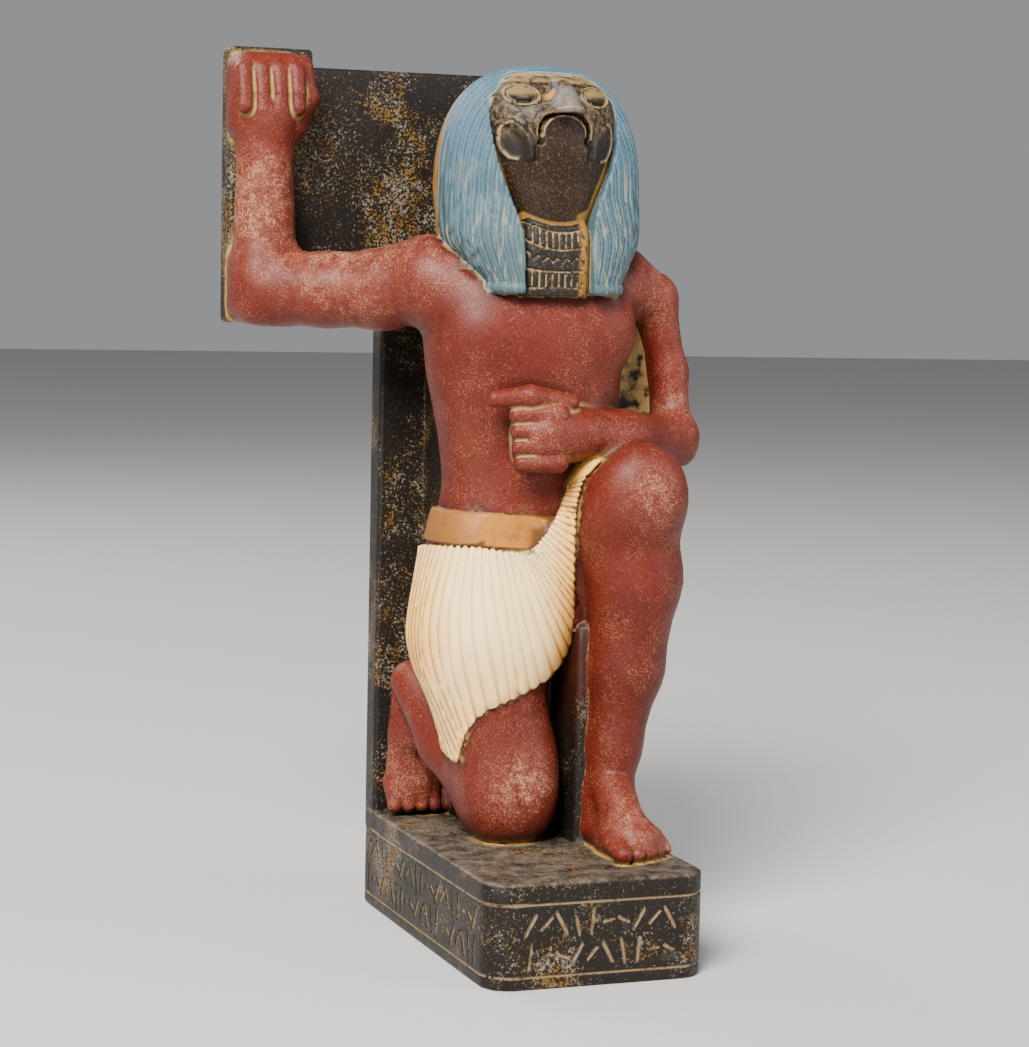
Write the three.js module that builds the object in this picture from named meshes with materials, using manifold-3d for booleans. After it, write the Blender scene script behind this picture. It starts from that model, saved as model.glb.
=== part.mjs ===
import * as THREE from 'three';
import { mergeVertices } from 'three/addons/utils/BufferGeometryUtils.js';
import { edgeTable, triTable } from 'three/addons/objects/MarchingCubes.js';
import Module from 'manifold-3d';

const wasm = await Module();
wasm.setup();

// Driving sizes in millimetres. The base's underside is z = 0, its middle is the origin, the front is -Y.
const FIGURE_HEIGHT = 216.5;
const BASE_HEIGHT = 28.5;
const BASE_FRONT_MARGIN = 11;
const BASE_SIDE_MARGIN = 2;
const BASE_FRONT_CORNER = 8;
const BASE_BACK_CORNER = 2;
const BASE_EDGE_ROUND = 1;
const SLAB_THICKNESS = 9;
const SLAB_EDGE_ROUND = 1.4;
const TAB_RISE = 5;
const LINE_WIDTH = 0.8;
const LINE_DEPTH = 0.45;
const TOP_LINE_DROP = 5.7;
const BOTTOM_LINE_RISE = 3.5;
const STROKE_WIDTH = 0.9;
const STROKE_DEPTH = 0.6;
const STROKE_PITCH = 4.4;
const STROKE_ROWS = 2;

// The figure is free form: it is laid out in shares of its height, with x to the right of who looks at
// it, f forward from the slab's front face and h up from the base's top.
const SHARES_HIGH = 216.5;
const SHARE = FIGURE_HEIGHT / SHARES_HIGH;
const FOOT_REACH = 90;
const FOOTPRINT_HALF = 29.5;
const FIGURE_SHIFT = -1.5;
const HEAD_MIDDLE = 1.2;
const ARM_LEFT = -76;
const ARM_UNDERSIDE = 143.5;
const FIST_RIGHT = -54;
const BURY = 2;

const BASE_HALF = FOOTPRINT_HALF * SHARE + BASE_SIDE_MARGIN;
const BASE_LENGTH = SLAB_THICKNESS + FOOT_REACH * SHARE + BASE_FRONT_MARGIN;
const BACK_Y = BASE_LENGTH / 2;
const FRONT_Y = -BASE_LENGTH / 2;
const SLAB_FRONT_Y = BACK_Y - SLAB_THICKNESS;

const distance3 = (a, b, c) => Math.sqrt(a * a + b * b + c * c);

// Distance fields: each takes (x, f, h) in shares and gives less than zero inside the stone.
const limb = (from, to, radius, endRadius = radius, deep = 1) => {
  const axis = to.map((value, i) => value - from[i]);
  axis[1] /= deep;
  const length2 = axis[0] ** 2 + axis[1] ** 2 + axis[2] ** 2;
  return (x, f, h) => {
    const px = x - from[0];
    const pf = (f - from[1]) / deep;
    const ph = h - from[2];
    const along = (px * axis[0] + pf * axis[1] + ph * axis[2]) / length2;
    const t = Math.min(Math.max(along, 0), 1);
    const gap = distance3(px - axis[0] * t, pf - axis[1] * t, ph - axis[2] * t);
    return gap - radius - (endRadius - radius) * t;
  };
};

const egg = (centre, radii, power = 2) => {
  const least = Math.min(...radii);
  return (x, f, h) => {
    const sum = Math.abs((x - centre[0]) / radii[0]) ** power
      + Math.abs((f - centre[1]) / radii[1]) ** power
      + Math.abs((h - centre[2]) / radii[2]) ** power;
    return (sum ** (1 / power) - 1) * least;
  };
};

const block = (centre, half, round) => (x, f, h) => {
  const qx = Math.abs(x - centre[0]) - half[0] + round;
  const qf = Math.abs(f - centre[1]) - half[1] + round;
  const qh = Math.abs(h - centre[2]) - half[2] + round;
  const outside = distance3(Math.max(qx, 0), Math.max(qf, 0), Math.max(qh, 0));
  return outside + Math.min(Math.max(qx, qf, qh), 0) - round;
};

// Far outside the ball that holds it, a field answers with its distance from that ball.
const CLEAR = 8;
// Carving is worked out only this near a surface.
const NEAR_SKIN = 2.5;
const within = (centre, radius, field) => (x, f, h) => {
  const gap = distance3(x - centre[0], f - centre[1], h - centre[2]) - radius;
  return gap > CLEAR ? gap : field(x, f, h);
};

// A curve through [position, value, value...] rows, read at any position with soft bends.
const bend = (rows, at) => {
  let i = 0;
  while (i < rows.length - 2 && at > rows[i + 1][0]) i += 1;
  const before = rows[Math.max(i - 1, 0)];
  const start = rows[i];
  const end = rows[i + 1];
  const after = rows[Math.min(i + 2, rows.length - 1)];
  const t = Math.min(Math.max((at - start[0]) / (end[0] - start[0]), 0), 1);
  return start.slice(1).map((value, k) => {
    const next = end[k + 1];
    const span = end[0] - start[0];
    const leave = span * (next - before[k + 1]) / (end[0] - before[0]);
    const arrive = span * (after[k + 1] - value) / (after[0] - start[0]);
    const t2 = t * t;
    const t3 = t2 * t;
    return value * (2 * t3 - 3 * t2 + 1) + leave * (t3 - 2 * t2 + t)
      + next * (3 * t2 - 2 * t3) + arrive * (t3 - t2);
  });
};
const curve = (rows) => {
  const known = new Map();
  return (at) => {
    let found = known.get(at);
    if (found === undefined) {
      found = bend(rows, at);
      known.set(at, found);
    }
    return found;
  };
};

// Rounded sections stacked up the h axis: rows of [h, x, f, half width, half depth].
const stack = (rows, power) => {
  const section = curve(rows);
  const low = rows[0][0];
  const high = rows[rows.length - 1][0];
  return (x, f, h) => {
    const [cx, cf, width, depth] = section(h);
    const sum = Math.abs((x - cx) / width) ** power + Math.abs((f - cf) / depth) ** power;
    const side = (sum ** (1 / power) - 1) * Math.min(width, depth);
    return Math.max(side, low - h, h - high);
  };
};

const softMin = (a, b, k) => Math.min(a, b) - Math.max(k - Math.abs(a - b), 0) ** 2 / (4 * k);

const softMax = (a, b, k) => -softMin(-a, -b, k);

const blend = (k, ...fields) => (x, f, h) => {
  let result = fields[0](x, f, h);
  for (let i = 1; i < fields.length; i += 1) result = softMin(result, fields[i](x, f, h), k);
  return result;
};

const polyDistance = (points, x, y) => {
  let least = Infinity;
  for (let i = 0; i + 1 < points.length; i += 1) {
    const [ax, ay] = points[i];
    const dx = points[i + 1][0] - ax;
    const dy = points[i + 1][1] - ay;
    const along = ((x - ax) * dx + (y - ay) * dy) / (dx * dx + dy * dy);
    const t = Math.min(Math.max(along, 0), 1);
    least = Math.min(least, distance3(x - ax - dx * t, y - ay - dy * t, 0));
  }
  return least;
};

const ridge = (distance, width) => Math.exp(-((distance / width) ** 2));

// A groove every pitch, rounded ribs between: 0 on a rib's crest, 1 in a groove.
const ribbed = (at, pitch) => 1 - Math.abs(Math.sin(Math.PI * at / pitch));

const mirrored = (build) => blend(1, build(-1), build(1));

// Bare body: chest, waist and hips as one stack, shoulders and chest muscles laid on it.
const torso = blend(
  6,
  stack([
    [60, -3, 38, 27, 18],
    [78, -2, 40, 26, 18],
    [88, -1.5, 40.5, 24.6, 16.5],
    [99, -1, 41, 22.8, 15.5],
    [110, -1, 41, 23.6, 15.5],
    [121, -0.5, 41.5, 26.2, 17],
    [131, -1.3, 42, 27.8, 18],
    [142, -1.4, 42, 28.8, 18.5],
    [152, 0, 41, 30.5, 17.5],
    [160, 0, 40, 28, 15.5],
    [167, 0, 39, 20, 13],
    [174, 0, 38, 12, 11],
  ], 2.4),
  limb([-27, 37, 156.5], [0, 38, 160], 11.5),
  limb([27, 38, 156.5], [0, 38, 160], 10.4),
);
const chestMuscle = (side) => egg([HEAD_MIDDLE + side * 13.2, 51.3, 143], [13.6, 8.5, 11.5]);
const nipple = (side) => egg([HEAD_MIDDLE + side * 20.6, 56.9, 143.5], [2.1, 1.5, 2.1]);

// Raised arm in high relief: upper arm level along the panel's foot, forearm upright, fist at the top.
const raisedArm = blend(
  3,
  limb([-27, 35.5, 157.5], [-38, 27, 153.9], 12, 11),
  limb([-38, 27, 153.9], [-52, 18, 153.4], 11, 10.2),
  limb([-52, 18, 153.4], [-66.5, 9, 153.5], 10.2, 10.2),
  block([-66.5, 6, 154.5], [9.7, 10, 11], 5),
  limb([-67.2, 7.5, 160], [-67.6, 7.5, 191], 9.2, 7.8),
);
// Stone left between the raised arm and the slab.
const armBacking = blend(2, block([-45, 8, 153.5], [18, 10, 7.5], 3), block([-30, 15, 155], [12, 17, 9], 4));

const FINGER_TOP = 216.5;
const FINGER_PITCH = 5.1;
const FIRST_FINGER_X = -75;
const fingerTipHeight = (i) => 204.5 - 1.6 * Math.sin(Math.PI * (i + 0.4) / 4);
const raisedFinger = (i) => {
  const x = FIRST_FINGER_X + FINGER_PITCH * i;
  return blend(
    0.4,
    limb([x, 11, FINGER_TOP - 2.4], [x, 12.6, 208], 2.45),
    limb([x, 12.6, 208], [x, 13.4, fingerTipHeight(i)], 2.4, 2.3),
  );
};
const raisedFist = blend(
  1.5,
  block([-66.3, 4.5, 207], [11, 7.5, 12.5], 5),
  limb([-67.6, 7, 190], [-67, 8, 200], 7.8, 8.5),
  blend(0.5, ...[0, 1, 2, 3].map(raisedFinger)),
  limb([-62, 8, 197], [-55.6, 8.5, 207], 4.2, 3.2),
  limb([-55.6, 8.5, 207], [-57, 8.5, 216], 3.2, 2.8),
);

// Bent arm: hanging upper arm, level forearm and the fist held before the chest.
const bentArm = blend(
  4,
  limb([29.5, 38, 156.8], [37.6, 38.5, 153.6], 10, 7.2, 1.2),
  limb([38.8, 39, 152], [43.4, 40, 132], 6.2, 4.9, 1.3),
  limb([43.4, 40, 132], [44.3, 42, 114], 4.9, 5.7, 1.3),
  block([43.6, 42.5, 111.8], [5.4, 6.4, 6.2], 3.4),
  limb([43.4, 45, 113], [22, 58, 114], 6.7, 7.4),
  limb([22, 58, 114], [7, 61.5, 115.5], 7.4, 7.2),
);
const knuckle = (i) => {
  const h = 121.2 - 4.4 * i;
  return limb([0, 66.2, h], [-11.6 + 0.5 * i, 64.6, h - 0.4], 2.9, 2.3);
};
const bentFist = blend(
  1.2,
  limb([9, 61, 115.5], [-2, 61, 115], 7.4, 8.8),
  block([-3, 58.5, 114.8], [6.7, 7.6, 9.4], 5),
  blend(0.4, ...[0, 1, 2, 3].map(knuckle)),
  limb([4, 64, 124.2], [-8, 65.4, 126], 2.6, 3),
  limb([-8, 65.4, 126], [-18, 64.6, 125.2], 3, 2.4),
);

// Kneeling leg: thigh down to the knee on the base, lower leg back to a foot stood on its toes.
const kneelingThigh = blend(
  5,
  limb([-10, 38, 78], [-12, 41, 58], 17, 18),
  limb([-12, 41, 58], [-6.2, 45, 16], 17.6, 13.4),
  egg([-5.4, 46, 17.5], [13.8, 13.6, 18.6], 2.6),
);
const kneelingShin = blend(
  3,
  limb([-8, 42, 10], [-15.5, 26, 26], 9, 9.5),
  limb([-15.5, 26, 26], [-23, 13, 41], 9.5, 6.2),
);
const backToe = (i) => limb([-25.8 + 4.1 * i, 5, 9.5], [-25.8 + 4.1 * i, 7.4, 3.2], 2.25, 2.15);
const backFoot = blend(
  2.5,
  limb([-20.8, 6, 40], [-20.8, 6.5, 24], 5.6, 6.6),
  limb([-20.8, 6.5, 24], [-19.6, 5, 11], 6.6, 8.6, 0.6),
  blend(0.6, ...[0, 1, 2, 3, 4].map(backToe)),
);

// Raised leg: thigh forward to the knee, upright shin and the foot flat on the base.
const raisedThigh = limb([12, 36, 79], [23.4, 60, 96], 16, 13.6);
const raisedKnee = egg([24, 63, 98.5], [14.9, 13.5, 15]);
const raisedShin = blend(
  4,
  raisedKnee,
  limb([24.6, 60, 94], [26.6, 58, 75], 13.4, 12.8, 1.1),
  limb([26.6, 58, 75], [24.8, 57.5, 50], 12.8, 10.2, 1.2),
  limb([24.8, 57.5, 50], [21.8, 58, 28], 10.2, 7.2, 1.2),
  limb([21.8, 58, 28], [20.4, 58.5, 14], 7.2, 6.4, 1.15),
  limb([20.4, 58.5, 14], [19.6, 59, 5], 6.4, 6.8),
);
const kneecap = egg([24.2, 71, 101.5], [9.5, 6, 10.5]);
// Rows of [x, f at the tip, radius].
const FRONT_TOES = [[13.6, 85.8, 2.75], [18.1, 85, 2.35], [22.1, 83, 2.15], [25.9, 80.6, 2.05], [29.4, 77.8, 2]];
const frontToe = ([x, tip, radius]) => limb([x, tip - 7, 4.8], [x + 0.2, tip, radius], radius, radius - 0.1);
const frontFoot = blend(
  2,
  limb([19.8, 62, 17], [19.5, 74, 7.5], 6.2, 5.6),
  limb([19.4, 56, 5], [18.8, 74, 4.6], 6.5, 6.6),
  limb([20.5, 71, 4.2], [20.8, 77, 3.6], 8, 7.6),
  blend(0.7, ...FRONT_TOES.map(frontToe)),
);

const legs = within([3, 45, 55], 75, blend(
  2.5,
  within([-12, 36, 50], 52, blend(3, kneelingThigh, kneelingShin)),
  within([20, 56, 58], 60, blend(5, raisedThigh, raisedShin, kneecap)),
));
const arms = blend(
  2.5,
  within([-52, 16, 168], 38, raisedArm),
  within([28, 48, 134], 34, bentArm),
);
const skin = blend(2.5, within([0, 40, 118], 68, blend(3, torso, mirrored(chestMuscle))), arms, legs);
const bareFigure = blend(
  0.8,
  skin,
  within([0, 59, 143.5], 22, mirrored(nipple)),
  within([-65, 8, 205], 22, raisedFist),
  within([-5, 60, 118], 18, bentFist),
  within([-24, 12, 22], 30, backFoot),
  within([18, 72, 8], 24, frontFoot),
);

// The wig's widest level, half width and rise above that level.
const WIG_MIDDLE = 181;
const WIG_HALF = 29.3;
const WIG_RISE = SHARES_HIGH - WIG_MIDDLE;
const WIG_DEPTH = 18.4;
const WIG_CENTRE_F = 42;
const WIG_POWER = 2.5;
const WIG_BACKING_HALF = 14.4;
const WIG_OVERHANG = 4;

// Stone left standing behind the body, between its legs and beside its bent arm.
const headWall = egg([HEAD_MIDDLE, 20, WIG_MIDDLE], [WIG_BACKING_HALF, 300, WIG_RISE - WIG_OVERHANG], 2.4);
const headBacking = (x, f, h) => Math.max(headWall(x, f, h), f - WIG_CENTRE_F);
const webs = blend(
  1.5,
  block([1.5, 15, 104], [17.5, 17, 60], 2),
  block([5, 15, 40], [14, 17, 44], 2),
  headBacking,
  block([8, 18, 40], [9, 20, 44], 2),
  block([17.5, 28, 30], [6.5, 29, 32], 2),
  block([32, 33, 133], [8, 6, 22], 2),
  armBacking,
);

// Kilt: the hips and thighs made thicker by the cloth, cut off at a hem, with pleats that fan out.
const CLOTH = 1.3;
const hips = blend(
  6,
  kneelingThigh,
  raisedThigh,
  raisedKnee,
  egg([-1, 40, 82], [24.6, 18.5, 20], 2.4),
  egg([-11.5, 41, 61], [18.7, 18.6, 24]),
  egg([-2, 42, 66], [16, 16, 22]),
);
const PLEAT_PITCH = 1 / 14;
const PLEAT_DEPTH = 0.5;
const FIRST_PLEAT = -1;
const LAST_PLEAT = 2.6;
const HALVINGS = 12;
const pleatStart = curve([
  [FIRST_PLEAT, -70, 87], [0, -34.4, 84.7], [1, -6.9, 81.3], [1.25, -4.3, 82.5], [1.5, -1.8, 84.8],
  [1.75, 1.3, 88.4], [2, 4.7, 92.6], [2.3, 8.2, 98], [LAST_PLEAT, 12, 104],
]);
const pleatEnd = curve([
  [FIRST_PLEAT, -60, 20], [0, -25.7, 25.2], [0.35, -19.9, 35.8], [0.6, -11.1, 40.7], [0.85, -0.9, 45.5],
  [1, 6, 52.3], [1.25, 9.2, 64.7], [1.5, 9.3, 73.2], [2, 9.3, 91.3], [2.3, 9.5, 97.7], [LAST_PLEAT, 13, 104.5],
]);
const PLEAT_BOW = 8;
const BOW_MIDDLE = 56;
const BOW_REACH = 31;

// The cloth's edges, laid out on a plane before the thighs that is looked at from the side of the
// kneeling leg.
const CLOTH_PLANE = 58;
const SIGHT_SLANT = 0.4;
const hemHeight = curve([
  [-60, 60], [-25.7, 24.5], [-22.4, 32.3], [-20.5, 35.3], [-17.7, 37.9], [-11.1, 40.7], [-3.5, 44],
  [2.3, 47.5], [6.4, 52.6], [8.5, 58], [9.2, 64], [14, 76],
]);
const clothSide = curve([
  [30, 9.2], [64, 9.2], [94, 9.2], [99.2, 10.1], [102.2, 11.2], [105.2, 13.6], [107.6, 16], [112, 22],
]);
const waistHeight = curve([
  [-60, 87], [-35, 85.4], [-20.3, 84.4], [-5, 83], [-0.6, 87], [3, 92.5], [5.5, 99], [7.5, 105],
  [10, 107.8], [30, 108],
]);

const onClothPlane = (x, f, h) => {
  const nearer = f - CLOTH_PLANE;
  return [x + SIGHT_SLANT * nearer, h - (0.2 - 0.001 * h) * nearer];
};

const pleatAt = (x, f, h) => {
  const [across, level] = onClothPlane(x, f, h);
  const wrapped = across - 0.45 * Math.max(48 - f, 0);
  const bow = PLEAT_BOW * Math.min(Math.max((-12 - wrapped) / 20, 0), 1.2);
  const bowed = wrapped + bow * Math.max(1 - ((level - BOW_MIDDLE) / BOW_REACH) ** 2, 0);
  let low = FIRST_PLEAT;
  let high = LAST_PLEAT;
  for (let i = 0; i < HALVINGS; i += 1) {
    const middle = (low + high) / 2;
    const [sx, sh] = pleatStart(middle);
    const [ex, eh] = pleatEnd(middle);
    const side = (bowed - sx) * (eh - sh) - (level - sh) * (ex - sx);
    if (side < 0) low = middle;
    else high = middle;
  }
  return low;
};

const kilt = (x, f, h) => {
  const body = hips(x, f, h) - CLOTH;
  if (body > 4) return body;
  const [across, level] = onClothPlane(x, f, h);
  const hem = 0.6 * (hemHeight(across)[0] - level);
  const side = across - clothSide(level)[0];
  const waist = 0.6 * (level - waistHeight(across)[0]);
  const edge = Math.max(softMax(hem, side, 0.5), waist);
  const cloth = softMax(body, edge, 0.5);
  if (Math.abs(cloth) > NEAR_SKIN) return cloth;
  return cloth + PLEAT_DEPTH * ribbed(pleatAt(x, f, h), PLEAT_PITCH);
};

const BELT_MIDDLE = 87.7;
const BELT_HALF = 4.7;
const belt = (x, f, h) => {
  const middle = BELT_MIDDLE - 0.05 * x;
  const band = Math.abs(h - middle) - BELT_HALF;
  return softMax(torso(x, f, h) - 1.1, band, 0.8);
};

// Wig: a dome over the head, narrowed to two lappets on the chest, open in front of the face.
const STRAND_PITCH = 3.1;
const STRAND_DEPTH = 0.6;
const LAPPET_END = 153.5;
const LIP_RISE = 3;
const wigWidth = curve([[150, 19.6], [156, 21.2], [161.5, 24.4], [168.5, 28.2], [176, 29.2], [183, 29.3]]);
const wigSection = stack([
  [152, 0.8, 54, 18.9, 11],
  [157, 0.7, 52, 20.6, 13],
  [161.5, 0.3, 49, 24, 15.6],
  [168.5, 0, 45, 28.2, 18.6],
  [176, 0, 43, 29.2, 18.6],
  [WIG_MIDDLE, 0, WIG_CENTRE_F, WIG_HALF, WIG_DEPTH],
  [WIG_MIDDLE + WIG_DEPTH, 0, WIG_CENTRE_F, WIG_HALF, WIG_DEPTH],
], WIG_POWER);
const wigDome = egg([0, WIG_CENTRE_F, WIG_MIDDLE], [WIG_HALF, WIG_DEPTH, WIG_RISE], WIG_POWER);

const strandAt = (x, f, h) => {
  const side = Math.abs(x);
  let reach = side * WIG_HALF / wigWidth(h)[0];
  if (h > WIG_MIDDLE) {
    reach = WIG_HALF * ((side / WIG_HALF) ** WIG_POWER
      + ((h - WIG_MIDDLE) / WIG_RISE) ** WIG_POWER) ** (1 / WIG_POWER);
  }
  const around = f > WIG_CENTRE_F ? reach : 2 * WIG_HALF - reach;
  return 0.9 * around + 60 - f;
};

const OPENING_LEAN = 0.7;
const OPENING_TOP = 211.6;
const openingWidth = curve([
  [150, 9.9], [168, 10], [175, 11.4], [181.5, 13.8], [188.5, 16.4], [195, 18], [200, 18.5],
]);
const faceOpening = (x, f, h) => {
  let half = openingWidth(h)[0];
  if (h > 200) half = 18.5 * Math.max(1 - ((h - 200) / 11.6) ** 2.5, 0) ** 0.4;
  const lean = OPENING_LEAN * Math.min(Math.max((195 - h) / 20, 0), 1);
  return Math.max(Math.abs(x + lean) - half, h - OPENING_TOP, 44 - f);
};

const wig = (x, f, h) => {
  if (h < LAPPET_END - CLEAR) return CLEAR;
  const shell = h > WIG_MIDDLE ? wigDome(x, f, h) : wigSection(x, f, h);
  if (shell > 4) return shell;
  const trimmed = Math.max(shell, LAPPET_END - h);
  let groove = 0;
  if (h < LAPPET_END + LIP_RISE) groove = -0.5;
  else if (trimmed > -NEAR_SKIN) groove = STRAND_DEPTH * ribbed(strandAt(x, f, h), STRAND_PITCH);
  return softMax(trimmed + groove, -faceOpening(x, f, h), 0.9);
};

// Falcon's face: drawn lines are raised on it in front view, mirrored about its middle.
const EYE = [10.7, 207.3];
const cheekLobe = [[17.4, 191], [17.4, 196.5], [16.2, 199.6], [14.4, 199.6], [12.2, 197.6], [10.6, 195], [10, 191]];
const cheekFoot = [[17, 193.6], [15.6, 190.6], [13.4, 189.2], [11, 189.8]];
const browLine = [[2, 211.2], [5.4, 210.7], [8.3, 211], [11.5, 211.6], [14.8, 210.8], [17, 208.2]];
const mouthArch = [[0, 203.5], [3.2, 203], [5.7, 201.5], [7.1, 199.4], [7.5, 197.4], [7, 195]];
const lowerLip = [[0, 201.9], [2.3, 201.6], [4.4, 200.3], [5.9, 198.4], [6.3, 196]];
const MOUTH_DEPTH = 1.3;

const faceBlock = stack([
  [153, 0, 50, 9.6, 12.4],
  [172, 0, 48, 11, 12.2],
  [178, 0, 47, 13.6, 13],
  [188, 0, 46, 17.5, 14.6],
  [200, 0, 45, 19.6, 15],
  [206, 0, 44.5, 19.2, 14.6],
  [211, 0, 43, 16, 12.6],
  [214, 0, 42, 12, 8],
], 2.8);
const throat = egg([0, 49, 186], [10.5, 12.8, 16.5], 2.2);
const muzzle = egg([0, 51, 196.5], [10.6, 11.6, 9.4], 3.6);
const archHeight = curve([
  [-1, 203.5], [0, 203.5], [3.2, 203], [5.7, 201.5], [7.1, 199.4], [7.6, 196], [8, 190], [30, 190],
]);
const beakBody = stack([
  [199, 0, 59, 4.4, 10.6],
  [203, 0, 59, 5, 11],
  [205, 0, 59, 4, 10.8],
  [207, 0, 59, 3.3, 9.6],
  [209, 0, 59, 2.9, 7.2],
  [210.6, 0, 58.5, 2.5, 4],
  [212, 0, 57, 2, 2.5],
], 1.9);

const eyeRelief = (side, h) => {
  const ring = distance3((side - EYE[0]) / 4.5, (h - EYE[1]) / 2.8, 0);
  const ball = distance3((side - EYE[0]) / 3.5, (h - EYE[1]) / 2, 0);
  return 0.7 * ridge(ring - 1, 0.2) + 0.9 * Math.max(1 - ball * ball, 0);
};

// How far inside the mouth's arch a place is, in front view.
const insideMouth = (side, h) => {
  const gap = polyDistance(mouthArch, side, h);
  return h < archHeight(side)[0] ? gap : -gap;
};

const faceLines = (side, h) => {
  const inside = insideMouth(side, h);
  return 0.6 * ridge(polyDistance(cheekLobe, side, h), 0.7)
    + 0.6 * ridge(polyDistance(cheekFoot, side, h), 0.7)
    - 0.5 * ridge(polyDistance(browLine, side, h), 0.6)
    + 0.7 * ridge(inside + 1, 0.8) - MOUTH_DEPTH * ridge(inside - 0.5, 0.7)
    + 0.6 * ridge(polyDistance(lowerLip, side, h), 0.5)
    + eyeRelief(side, h);
};

const beak = (x, f, h) => {
  const under = archHeight(Math.abs(x))[0] - 0.17 * (f - 62) - h;
  return softMax(beakBody(x, f, h), under, 0.6);
};

const face = (x, f, h) => {
  const plain = softMin(softMin(faceBlock(x, f, h), throat(x, f, h), 2.5), muzzle(x, f, h), 3);
  if (f < 46 || plain > 14 || plain < -NEAR_SKIN) return plain;
  if (plain > NEAR_SKIN) return softMin(plain, beak(x, f, h), 1.2);
  return softMin(plain - faceLines(Math.abs(x), h), beak(x, f, h), 1.2);
};

// Broad collar between the lappets: lines across it.
const COLLAR_LINES = [171.2, 166, 159.4, 153.6];
const collarBand = egg([-0.7, 50, 164], [11, 13.2, 11], 3.5);
const collar = (x, f, h) => {
  if (h > 190) return CLEAR;
  const sag = h + 0.012 * x * x;
  let line = 0;
  for (const at of COLLAR_LINES) line += 0.4 * ridge(sag - at, 0.5);
  return collarBand(x, f, h) + line;
};

const dress = within([-4, 42, 68], 62, (x, f, h) => Math.min(belt(x, f, h), kilt(x, f, h)));
const head = within([HEAD_MIDDLE, 44, 182], 46, (x, f, h) => {
  const across = x - HEAD_MIDDLE;
  return Math.min(wig(across, f, h), face(across, f, h), collar(across, f, h));
});

const figure = (x, f, h) => {
  const stone = softMin(bareFigure(x, f, h), webs(x, f, h), 1);
  return Math.max(Math.min(stone, dress(x, f, h), head(x, f, h)), -BURY - f, -BURY - h);
};

// Surface of a field, found on a grid of cells inside blocks that lie near it.
const CELL = 0.8;
const BLOCK_CELLS = 16;
const NEAR = 1.7;
const REACH = [[-80, 58], [-BURY - 2, 94], [-BURY - 2, SHARES_HIGH + 6]];
const CORNERS = [[0, 0, 0], [1, 0, 0], [1, 1, 0], [0, 1, 0], [0, 0, 1], [1, 0, 1], [1, 1, 1], [0, 1, 1]];
const CELL_EDGES = [[0, 1], [1, 2], [2, 3], [3, 0], [4, 5], [5, 6], [6, 7], [7, 4], [0, 4], [1, 5], [2, 6], [3, 7]];
const CASE_WIDTH = 16;

function surfaceOf(field) {
  const counts = REACH.map(([low, high]) => Math.ceil((high - low) / CELL / BLOCK_CELLS));
  const nodes = counts.map((count) => count * BLOCK_CELLS + 1);
  const values = new Map();
  const points = [];
  const triangles = [];
  const onEdge = new Map();
  const place = (i, axis) => REACH[axis][0] + i * CELL;
  const keyOf = (i, j, k) => (k * nodes[1] + j) * nodes[0] + i;
  const valueAt = (i, j, k) => {
    const key = keyOf(i, j, k);
    let value = values.get(key);
    if (value === undefined) {
      value = field(place(i, 0), place(j, 1), place(k, 2)) || 1e-9;
      values.set(key, value);
    }
    return value;
  };
  const edgePoint = (a, b, va, vb) => {
    const [low, high, vl, vh] = keyOf(...a) < keyOf(...b) ? [a, b, va, vb] : [b, a, vb, va];
    const axis = low.findIndex((value, n) => value !== high[n]);
    const key = keyOf(...low) * 3 + axis;
    let index = onEdge.get(key);
    if (index === undefined) {
      const t = Math.min(Math.max(vl / (vl - vh), 0.04), 0.96);
      const point = low.map((value, n) => place(value + (n === axis ? t : 0), n));
      index = points.length / 3;
      points.push(...point);
      onEdge.set(key, index);
    }
    return index;
  };
  const meshCell = (i, j, k) => {
    const corners = CORNERS.map(([di, dj, dk]) => [i + di, j + dj, k + dk]);
    const found = corners.map((corner) => valueAt(...corner));
    let mask = 0;
    found.forEach((value, n) => {
      if (value < 0) mask |= 1 << n;
    });
    if (edgeTable[mask] === 0) return;
    for (let n = mask * CASE_WIDTH; triTable[n] !== -1; n += 3) {
      const corner = [0, 1, 2].map((m) => {
        const [a, b] = CELL_EDGES[triTable[n + m]];
        return edgePoint(corners[a], corners[b], found[a], found[b]);
      });
      triangles.push(corner[0], corner[1], corner[2]);
    }
  };
  const search = (i, j, k, size) => {
    const half = size / 2;
    const middle = field(place(i + half, 0), place(j + half, 1), place(k + half, 2));
    if (Math.abs(middle) > NEAR * Math.sqrt(3) * half * CELL) return;
    for (const [di, dj, dk] of CORNERS) {
      if (size === 2) meshCell(i + di, j + dj, k + dk);
      else search(i + di * half, j + dj * half, k + dk * half, half);
    }
  };
  for (let k = 0; k < nodes[2] - 1; k += BLOCK_CELLS) {
    for (let j = 0; j < nodes[1] - 1; j += BLOCK_CELLS) {
      for (let i = 0; i < nodes[0] - 1; i += BLOCK_CELLS) search(i, j, k, BLOCK_CELLS);
    }
  }
  return { points: Float64Array.from(points), triangles: Int32Array.from(triangles) };
}

// Edges collapsed, cheapest first by squared distance from the planes round them, down to a count.
const MATRIX = 10;
const FIGURE_TRIANGLES = 7400;
const STEADY = 1e-3;
const LEAST_COSINE = 0.3;

const cross = (a, b) => [a[1] * b[2] - a[2] * b[1], a[2] * b[0] - a[0] * b[2], a[0] * b[1] - a[1] * b[0]];
const dot = (a, b) => a[0] * b[0] + a[1] * b[1] + a[2] * b[2];
const minus = (a, b) => [a[0] - b[0], a[1] - b[1], a[2] - b[2]];

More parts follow.
